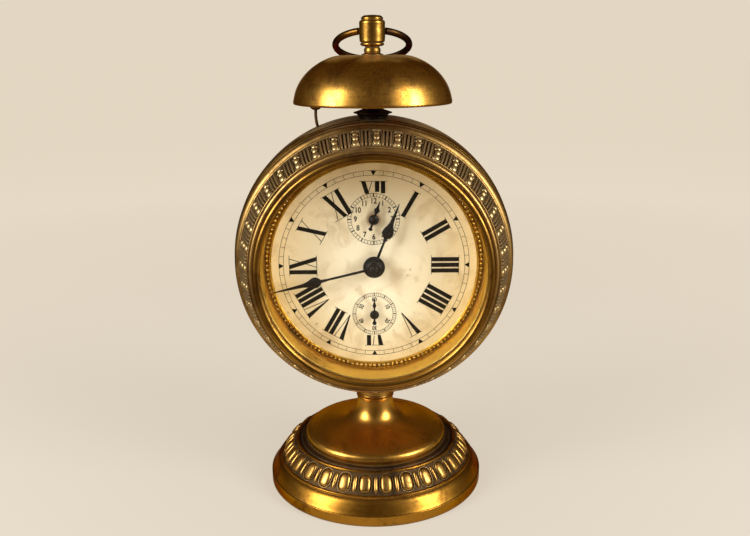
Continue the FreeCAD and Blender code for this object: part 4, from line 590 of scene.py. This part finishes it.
def printed(name, mesh, material):
    """Prints a flat drawing on the dial, with a skin of ink."""
    bmesh.ops.remove_doubles(mesh, verts=mesh.verts, dist=0.001)
    bmesh.ops.recalc_face_normals(mesh, faces=mesh.faces)
    low = [face for face in mesh.faces if face.normal.z < 0]
    bmesh.ops.reverse_faces(mesh, faces=low)
    bmesh.ops.solidify(mesh, geom=mesh.faces, thickness=-INK_THICKNESS)
    bmesh.ops.recalc_face_normals(mesh, faces=mesh.faces)
    put(name, mesh, "case", [material], facing(PRINT_LEVEL))


TRACK, TRACK_LINE, TRIANGLE, TRIANGLE_REACH = (39.1, 41.0), 0.17, 1.35, 40.25
track = bmesh.new()
for radius in TRACK:
    circle_line(track, (0, 0), radius, TRACK_LINE, 180)
for minute in range(60):
    stroke(track, clock(6 * minute), (0, TRACK[0]), (0, TRACK[1]), TRACK_LINE)
printed("minute_track", track, grey_ink)
chapter = bmesh.new()
for number in range(12):
    mark = bmesh.ops.create_circle(chapter, cap_ends=True, segments=3, radius=1)["verts"]
    bmesh.ops.transform(chapter, verts=mark, matrix=clock(30 * number + 180)
                        @ Matrix.Translation((0, -TRIANGLE_REACH, 0)) @ Matrix.Scale(TRIANGLE, 4))

# Each hour figure is a row of letters; a letter is a list of strokes from foot to top in its own width.
LETTERS = {"I": (2.5, [(0, 0, 1.85, 1)]),
           "V": (5.0, [(0.5, -1.55, 2.1, 0.12), (0.55, 1.9, 0.3, 1)]),
           "X": (5.6, [(1.85, -1.8, 1.85, 1), (-1.95, 1.95, 0.3, 1)])}
FOOT, TOP = 24.6, 36.6
SERIF_IN, SERIF_OUT, SERIF_REACH = 0.18, 0.02, 1.2
# XII and VI are cut short by the small circles: the height of a circle's centre, and its reach
SHORT = {"XII": (ALARM[1], 11.75), "VI": (-SECONDS[1], 10.15)}
HOURS = ["XII", "I", "II", "III", "IIII", "V", "VI", "VII", "VIII", "IX", "X", "XI"]
for number, figure in enumerate(HOURS):
    place = clock(30 * number)
    half = sum(LETTERS[letter][0] for letter in figure) / 2
    across = -half
    stroke(chapter, place, (0, TOP - SERIF_IN), (0, TOP + SERIF_OUT), 2 * half + SERIF_REACH)
    for letter in figure:
        wide, strokes = LETTERS[letter]
        middle = across + wide / 2
        across += wide
        for low, up, width, taper in strokes:
            low, up, foot = middle + low, middle + up, FOOT
            if figure in SHORT:
                centre, reach = SHORT[figure]
                foot = centre + math.sqrt(reach ** 2 - min(abs(up), reach - 0.5) ** 2)
                cut = (foot - FOOT) / (TOP - FOOT)
                low = low + (up - low) * cut
                taper = 1 if taper == 1 else taper + (1 - taper) * cut
            stroke(chapter, place, (low, foot), (up, TOP), width, taper)
        if letter != "V" and figure not in SHORT:
            stroke(chapter, place, (middle, FOOT - SERIF_OUT), (middle, FOOT + SERIF_IN), wide + SERIF_REACH)
printed("hour_figures", chapter, ink)


SMALL_LINE = 0.16


def small_circle(centre, inner, outer, ticks, every, heavy, light):
    """A small printed circle: two lines with ticks between them, of which every few are heavy."""
    mesh = bmesh.new()
    for radius in (outer, inner):
        circle_line(mesh, centre, radius, SMALL_LINE, 96)
    for number in range(ticks):
        width = light if number % every else heavy
        stroke(mesh, clock(360 * number / ticks, centre), (0, inner), (0, outer), width)
    return mesh


ALARM_FIGURES, SECONDS_FIGURES = 7.75, 6.5
alarm_print = small_circle(ALARM, 9.6, 11.1, ticks=48, every=4, heavy=0.5, light=0.18)
for number in range(1, 13):
    turn = math.radians(30 * number)
    across, up = ALARM_FIGURES * math.sin(turn), ALARM[1] + ALARM_FIGURES * math.cos(turn)
    lettering(alarm_print, Matrix.Translation((across, up, 0)), str(number), height=2.35, spread=0.84)
printed("alarm_circle", alarm_print, ink)

seconds_print = small_circle(SECONDS, 8.1, 9.5, ticks=60, every=5, heavy=0.42, light=0.14)
for number in range(1, 7):
    outwards = clock(60 * number, SECONDS) @ Matrix.Translation((0, SECONDS_FIGURES, 0))
    lettering(seconds_print, outwards, str(10 * number), height=1.9, spread=0.82)
printed("seconds_circle", seconds_print, ink)

# -------- hands
# Stamped steel hands, blued nearly black and dulled by damp. The long ones swell to a disc before a
# needle point; the small ones carry a diamond. Their bosses are pressed on pipe and arbor.

black_steel, tree, shader = finish("blued_steel_blackened")
place = node(tree, "TexCoord", out="Object")
damp = node(tree, "TexNoise", {"Vector": place, "Scale": 420, "Detail": 6, "Roughness": 0.65})
rusty = node(tree, "MapRange", {"Value": damp, "From Min": 0.55, "From Max": 0.72, "To Max": 0.6})
colour = node(tree, "Mix", {0: rusty, 6: linear("#14110F"), 7: linear("#3A291C")}, 2, data_type="RGBA")
gloss = node(tree, "MapRange", {"Value": damp, "To Min": 0.28, "To Max": 0.6})
fill(shader, {"Metallic": 0.35, "Base Color": colour, "Roughness": gloss, "Normal": node(
    tree, "Bump", {"Height": damp, "Strength": 0.15, "Distance": 0.00003})})
THICK = 0.6


def hand(name, cad_name, body, axis, angle, front, hub, bore, half_widths, boss=None, cap=None):
    """A flat hand: its half widths at distances from the axis, mirrored, with a round hub and bore, a boss
    and a closed cap over the end of the arbor. Boss and cap are given as radius and height."""
    mesh = bmesh.new()
    rim = [mesh.verts.new((half, along, 0)) for along, half in half_widths]
    rim += [mesh.verts.new((-half, along, 0)) for along, half in reversed(half_widths)]
    bmesh.ops.triangulate(mesh, faces=[mesh.faces.new(rim)])
    deep = bmesh.ops.extrude_face_region(mesh, geom=mesh.faces[:])["geom"]
    bmesh.ops.translate(mesh, verts=[part for part in deep if isinstance(part, bmesh.types.BMVert)],
                        vec=(0, 0, -THICK))
    bmesh.ops.recalc_face_normals(mesh, faces=mesh.faces)
    discs = [(64, [(bore, 0.02), (hub - 0.25, 0.02), (hub, -0.2, 0.06), (hub, -THICK), (bore, -THICK)])]
    if boss:
        wide, top = boss
        discs.append((48, [(bore, top), (wide - 0.3, top), (wide, top - 0.3, 0.09), (wide, 0), (bore, 0)]))
    if cap:
        wide, top = cap
        discs.append((48, [(0, top), (wide - 0.4, top), (wide, top - 0.4, 0.12), (wide, 0.3), (bore, 0.3),
                           (bore, top - 0.4), (0, top - 0.4)]))
    joined = bpy.data.meshes.new("discs")
    for steps, outline in discs:
        disc = turned(curve(outline), steps, eased=0)
        disc.to_mesh(joined)
        disc.free()
        mesh.from_mesh(joined)
    ease(mesh, 0.08, angle=50, segments=1)
    put(name, mesh, body, [black_steel], facing(front) @ clock(angle, axis), [cad_name])


hand("hour_hand_blued", "hour_hand", "hour_pipe", (0, 0), angle=21.6, front=-15.4, hub=4.7, bore=2.31,
     half_widths=[(3.5, 0.6), (11.6, 0.45), (13.4, 0.75), (14.3, 1.75), (15.2, 2.25), (16.1, 2.4), (17.0, 2.3),
                  (18.0, 1.9), (19.3, 1.25), (21.2, 0.8), (25, 0.5), (29.4, 0.18)])
hand("minute_hand_blued", "minute_hand", "minute_arbor", (0, 0), angle=256.4, front=-17.4, hub=3.5, bore=1.51,
     half_widths=[(2.6, 0.55), (20, 0.42), (23.2, 0.65), (24.1, 1.6), (25.0, 2.25), (25.9, 2.4), (26.8, 2.3),
                  (27.8, 1.9), (29.2, 1.25), (31.4, 0.8), (37, 0.5), (44.4, 0.2)],
     boss=(2.9, 1.1), cap=(1.75, 3.15))
hand("seconds_hand_blued", "seconds_hand", "seconds_arbor", SECONDS, angle=0, front=-13.8, hub=2.0, bore=0.0,
     half_widths=[(-4.6, 0.35), (-4.3, 0.75), (-3.7, 0.9), (-3.1, 0.7), (-2.7, 0.4), (-1.5, 0.42), (0, 0.45),
                  (2, 0.36), (3.2, 0.34), (4.1, 0.86), (5.3, 0.4), (7.3, 0.12)], boss=(1.5, 0.6))
hand("alarm_hand_blued", "alarm_hand", "alarm_setter", ALARM, angle=18.8, front=-13.8, hub=2.2, bore=0.0,
     half_widths=[(-5.0, 0.2), (-4.3, 1.0), (-3.6, 0.5), (-2.8, 0.45), (-1.5, 0.45), (0, 0.45), (2, 0.45),
                  (2.9, 0.55), (4.3, 1.35), (5.6, 0.55), (8.4, 0.14)], boss=(1.9, 0.7))

# -------- movement
# Two plates of half-hard brass with turned pillars carry cut brass wheels on steel arbors. Under the
# cover the brass has kept its yellow, with a thin brown film of old oil; the steel is bright.

movement_brass = aged_brass("cut_brass_movement", bright="#CDA04A", dull="#8F6A30", tarnish=0.3, rough=0.32,
                            hollow=0.0, pits=0.2)
bright_steel = bare_steel("polished_arbor_steel", colour="#A9A7A2", dull="#6B6054", rough=0.24, share=0.3)
spring_steel = bare_steel("tempered_spring_steel", colour="#6A6D74", dull="#3F3A36", rough=0.3)
finish_nodes(movement_brass, "front_plate", "back_plate", "plate_pillars", "centre_wheel", "cannon_pinion",
             "hour_wheel", "minute_wheel", "third_wheel", "fourth_wheel", "escape_wheel", "great_wheel",
             "alarm_release_wheel", "alarm_cam", "alarm_great_wheel", "alarm_verge_wheel", "balance_wheel")
finish_nodes(bright_steel, "centre_arbor", "alarm_arbor", "time_winding_arbor", "alarm_winding_arbor",
             "pallet_lever", "front_plate_screws", "bell_stud", "bell_stud_nut", "hammer_arbor")
finish_nodes(spring_steel, "time_mainspring", "alarm_mainspring", "hairspring")

# -------- back
# The back cover is flat sheet brass with four cheese-head screws. Two butterfly keys wind the springs, two
# knurled knobs set the hands and the alarm, and two small levers stop the bell and mend the rate.

cover_brass = aged_brass("sheet_brass_cover", bright="#C9963F", dull="#86591F", rough=0.32, rings=0.25,
                         hollow=0.6, **AROUND_DIAL)
key_brass = aged_brass("cast_brass_keys", bright="#D6A549", dull="#9A6C2C", tarnish=0.35, rough=0.26, pits=0.4)


def refined(name, cad_name, body, material, eased):
    """A copy of a CAD solid with its edges eased, for turned and filed pieces whose shape is right."""
    mesh = bmesh.new()
    mesh.from_mesh(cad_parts[cad_name].data)
    mesh.transform(Matrix.Scale(1000, 4))
    bmesh.ops.remove_doubles(mesh, verts=mesh.verts, dist=0.01)
    bmesh.ops.dissolve_limit(mesh, angle_limit=math.radians(2), verts=mesh.verts, edges=mesh.edges)
    ease(mesh, eased, angle=30)
    put(name, mesh, body, [material], instead=[cad_name])


refined("back_cover_sheet", "back_cover", "case", cover_brass, eased=0.12)
refined("back_cover_screw_heads", "back_cover_screws", "case", bright_steel, eased=0.12)
refined("time_setting_knob", "time_set_knob", "minute_arbor", key_brass, eased=0.15)
refined("alarm_setting_knob", "alarm_set_knob", "alarm_setter", key_brass, eased=0.15)
refined("time_winding_key", "time_key", "time_winder", key_brass, eased=0.2)
refined("alarm_winding_key", "alarm_key", "alarm_winder", key_brass, eased=0.2)
refined("alarm_stop_tab", "alarm_stop_lever", "alarm_stop", key_brass, eased=0.12)
refined("rate_lever", "regulator_lever", "regulator", bright_steel, eased=0.1)

# -------- hammer
# A steel ball on a bent wire comes up through the slot in the drum and strikes inside the bell's rim.
# Both are bare steel, dark brown with old rust.

dark_steel = bare_steel("rusted_hammer_steel", colour="#6A4E30", dull="#3A281A", rough=0.4, share=0.6)
refined("hammer_ball", "hammer_head", "hammer", dark_steel, eased=0.1)
refined("hammer_rod_wire", "hammer_wire", "hammer", dark_steel, eased=0.05)

# -------- bell and post
# The bell is cast bell brass, turned thin, with a flat crown under the nut; its skin is worn bright in
# front and has gone purple brown at the crown and sides. A blackened iron post holds it off the case.

bell_brass = aged_brass("cast_bell_brass", bright="#DCA64A", dull="#AA6E24", oxide="#6A4030", rough=0.2,
                        rings=1.0, hollow=0.4, settled_dust_and_top_light=0.5, upward=1.0)
bell = flowing([(33.4, 171.9), (33.6, 172.7), (33.3, 174.3), (32.7, 176.6), (31.7, 179.1), (30.3, 181.5),
                (28.3, 184), (25.6, 186.5), (22.3, 188.7), (19.2, 190.2), (16.6, 191.1), (14.6, 191.5),
                (13.4, 191.6)]) + curve(
    [(13.4, 191.6), (2.7, 191.6), (2.7, 190.4), (13.4, 190.4), (16.2, 190.0), (18.9, 189.0), (21.8, 187.6),
     (24.9, 185.4), (27.4, 183.2), (29.3, 180.9), (30.6, 178.6), (31.5, 176.3), (32.0, 174.2), (32.3, 172.8),
     (32.4, 171.9)])
put("bell_shell", turned(bell), "case", [bell_brass], instead=["bell"])
iron = bare_steel("blackened_iron_post", colour="#3B332C", dull="#241B15", rough=0.5, share=0.8)
refined("bell_post_turning", "bell_post", "case", iron, eased=0.2)

# -------- nut and ring
# A turned brass nut holds the bell down and is drilled across for the lifting ring, a round wire bent
# to a circle with its ends closed through the nut. The ring leans back on the nut.

nut_brass = aged_brass("turned_brass_nut", bright="#B28638", dull="#704A1E", tarnish=0.55, rings=0.4,
                       hollow=0.7)
nut = curve([(0, 197.2), (1.5, 197.2), (2.5, 197.2), (2.5, 191.62), (4.6, 191.62), (4.5, 192.0, 0.1),
             (3.3, 192.7, -0.2), (3.45, 193.6, 0.15), (3.2, 194.5, 0.1), (2.9, 194.9), (3.3, 195.2),
             (4.6, 195.5, 0.15), (5.0, 196.0, 0.15), (4.6, 196.5, 0.15), (4.35, 196.7), (4.9, 196.9, 0.1),
             (5.25, 197.4, 0.15), (5.4, 199), (5.42, 202), (5.35, 204), (5.2, 205.2, 0.1), (4.5, 205.6, 0.05),
             (4.4, 205.8), (4.55, 206.1, 0.1), (4.3, 206.8, 0.15), (2.6, 207.45, 0.25), (0, 207.6, 0.1)])
put("crown_nut", turned(nut, steps=96), "case", [nut_brass], instead=["finial_nut"])
wire_brass = aged_brass("drawn_brass_ring", bright="#805A24", dull="#3E2A18", oxide="#2A1E16", tarnish=0.75,
                        rough=0.26, hollow=0.0)
HINGE, LEAN, RING, WIRE, PIN, PIN_HALF = 201.2, math.radians(22), 15.9, 1.45, 1.3, 5.7
ring = bmesh.new()
section = bmesh.ops.create_circle(ring, cap_ends=True, segments=20, radius=WIRE)["verts"]
start = math.asin(PIN_HALF / RING)
bmesh.ops.transform(ring, verts=section, matrix=Matrix.Rotation(start, 4, "Z")
                    @ Matrix.Translation((0, -RING, 0)) @ Matrix.Rotation(math.radians(90), 4, "Y"))
bmesh.ops.spin(ring, geom=ring.faces[:] + ring.edges[:] + ring.verts[:], cent=(0, 0, 0), axis=(0, 0, 1),
               angle=math.tau - 2 * start, steps=96, use_merge=False)
bmesh.ops.translate(ring, verts=ring.verts, vec=(0, math.sqrt(RING ** 2 - PIN_HALF ** 2), 0))
bmesh.ops.create_cone(ring, cap_ends=True, segments=24, radius1=PIN, radius2=PIN, depth=2 * PIN_HALF + 0.5,
                      matrix=Matrix.Rotation(math.radians(90), 4, "Y"))
bmesh.ops.remove_doubles(ring, verts=ring.verts, dist=0.001)
bmesh.ops.recalc_face_normals(ring, faces=ring.faces)
put("lifting_ring_wire", ring, "ring", [wire_brass],
    Matrix.Translation((0, 0, HINGE)) @ Matrix.Rotation(-LEAN, 4, "X"), ["lifting_ring"])

# -------- studio
# A pale floor that runs back to a pale wall of light, two soft lamps in front of the clock at either
# side, and a dark tent all round, open low down at the back, for the brass to reflect.


def seen_rays(tree):
    """1 for a ray from the camera, straight, off metal or through glass, and 0 for one that only lights."""
    light = node(tree, "LightPath").node.outputs
    seen = node(tree, "Math", {0: light["Is Camera Ray"], 1: light["Is Glossy Ray"]}, operation="MAXIMUM")
    return node(tree, "Math", {0: seen, 1: light["Is Transmission Ray"]}, operation="MAXIMUM")


def stand(name, mesh, material):
    """Stands a part of the studio in the scene."""
    data = bpy.data.meshes.new(name)
    mesh.to_mesh(data)
    mesh.free()
    data.materials.append(material)
    thing = bpy.data.objects.new(name, data)
    scene.collection.objects.link(thing)
    return thing


BEIGE = linear("#E3D7C3")
world = bpy.data.worlds.new("pale_room")
scene.world = world
world.use_nodes = True
tree = world.node_tree
fill(tree.nodes["Background"], {"Color": BEIGE, "Strength": node(
    tree, "MapRange", {"Value": seen_rays(tree), "To Min": 0.5, "To Max": 1.0})})

FLOOR_RADIUS, FLOOR_LEVEL, NEAR_GLOW, FAR_GLOW, GLOW_REACH = 15, -0.0002, 0.685, 0.905, 0.8
floor_paint, tree, shader = finish("matt_pale_floor")
fill(shader, {"Base Color": BEIGE, "Roughness": 0.9, "Specular IOR Level": 0.1})
far = node(tree, "VectorMath", {0: node(tree, "TexCoord", out="Object")}, "Value", operation="LENGTH")
glow = node(tree, "MapRange", {"Value": far, "From Min": 0.0, "From Max": GLOW_REACH, "To Min": NEAR_GLOW,
                               "To Max": FAR_GLOW})
glow = node(tree, "Emission", {"Color": BEIGE, "Strength": glow})
dim = node(tree, "BsdfDiffuse", {"Color": linear("#787470")})
pale = node(tree, "AddShader", {0: glow, 1: dim})
fill(tree.nodes["Material Output"], {"Surface": node(
    tree, "MixShader", {0: seen_rays(tree), 1: shader.outputs[0], 2: pale})})
ground = bmesh.new()
bmesh.ops.create_circle(ground, cap_ends=True, segments=96, radius=FLOOR_RADIUS,
                        matrix=Matrix.Translation((0, 0, FLOOR_LEVEL)))
stand("floor", ground, floor_paint)

tent_cloth, tree, shader = finish("dark_brown_tent_cloth")
fill(shader, {"Base Color": linear("#5E4A2A"), "Roughness": 1.0})
TENT, TENT_FOOT, HEM_LEVEL = 1.2, 0.02, 0.0002
OPEN_BACK, OPEN_HALF, OPEN_TOP = 0.3, 0.4, 0.3
tent = bmesh.new()
bmesh.ops.create_uvsphere(tent, u_segments=64, v_segments=32, radius=TENT)
middles = [(face, face.calc_center_median()) for face in tent.faces]
open_part = [face for face, middle in middles if middle.z < TENT_FOOT or
             middle.y > OPEN_BACK and abs(middle.x) < OPEN_HALF and middle.z < OPEN_TOP]
bmesh.ops.delete(tent, geom=open_part, context="FACES")
bmesh.ops.reverse_faces(tent, faces=tent.faces)
# its hem lies on the floor in front and at the sides, and leaves a widening strip free from foot to back
FRONT, BEND, END = -0.085, 0.4, 1.1
for hem in (((-TENT, -TENT), (TENT, -TENT), (TENT, FRONT), (-TENT, FRONT)),
            ((-TENT, FRONT), (-0.13, FRONT), (-0.22, BEND), (-TENT, BEND)),
            ((0.13, FRONT), (TENT, FRONT), (TENT, BEND), (0.22, BEND)),
            ((-TENT, BEND), (-OPEN_HALF, BEND), (-OPEN_HALF, END), (-TENT, END)),
            ((OPEN_HALF, BEND), (TENT, BEND), (TENT, END), (OPEN_HALF, END))):
    tent.faces.new([tent.verts.new((*corner, HEM_LEVEL)) for corner in hem])
tent_object = stand("tent", tent, tent_cloth)
tent_object.visible_camera = False
tent_object.visible_diffuse = False
tent_object.visible_shadow = False

LAMP_WIDTH, LAMP_HEIGHT, LAMP_POWER, LAMP_AWAY, LAMP_UP = 0.24, 0.42, 4.6, 0.7, math.radians(24)
AIM = Vector((0, 0, 0.1))
for name, turn in (("lamp_left", math.radians(-60)), ("lamp_right", math.radians(60))):
    lamp = bpy.data.lights.new(name, "AREA")
    lamp.shape, lamp.size, lamp.size_y, lamp.energy = "RECTANGLE", LAMP_WIDTH, LAMP_HEIGHT, LAMP_POWER
    holder = bpy.data.objects.new(name, lamp)
    away = Vector((math.sin(turn) * math.cos(LAMP_UP), -math.cos(turn) * math.cos(LAMP_UP), math.sin(LAMP_UP)))
    foot = AIM + LAMP_AWAY * away
    holder.matrix_world = Matrix.Translation(foot) @ (AIM - foot).to_track_quat("-Z", "Y").to_matrix().to_4x4()
    scene.collection.objects.link(holder)

# the camera stands 350 mm in front and looks 15 degrees down
EYE, TIPPED, ROLLED = (0.0004, -0.350, 0.1939), math.radians(74.91), math.radians(-0.46)
lens = bpy.data.cameras.new("camera")
lens.sensor_width, lens.lens = 36, 38.93
lens.clip_start, lens.clip_end = 0.01, 20
camera = bpy.data.objects.new("camera", lens)
camera.matrix_world = (Matrix.Translation(EYE) @ Matrix.Rotation(TIPPED, 4, "X")
                       @ Matrix.Rotation(ROLLED, 4, "Z"))
scene.collection.objects.link(camera)
scene.camera = camera
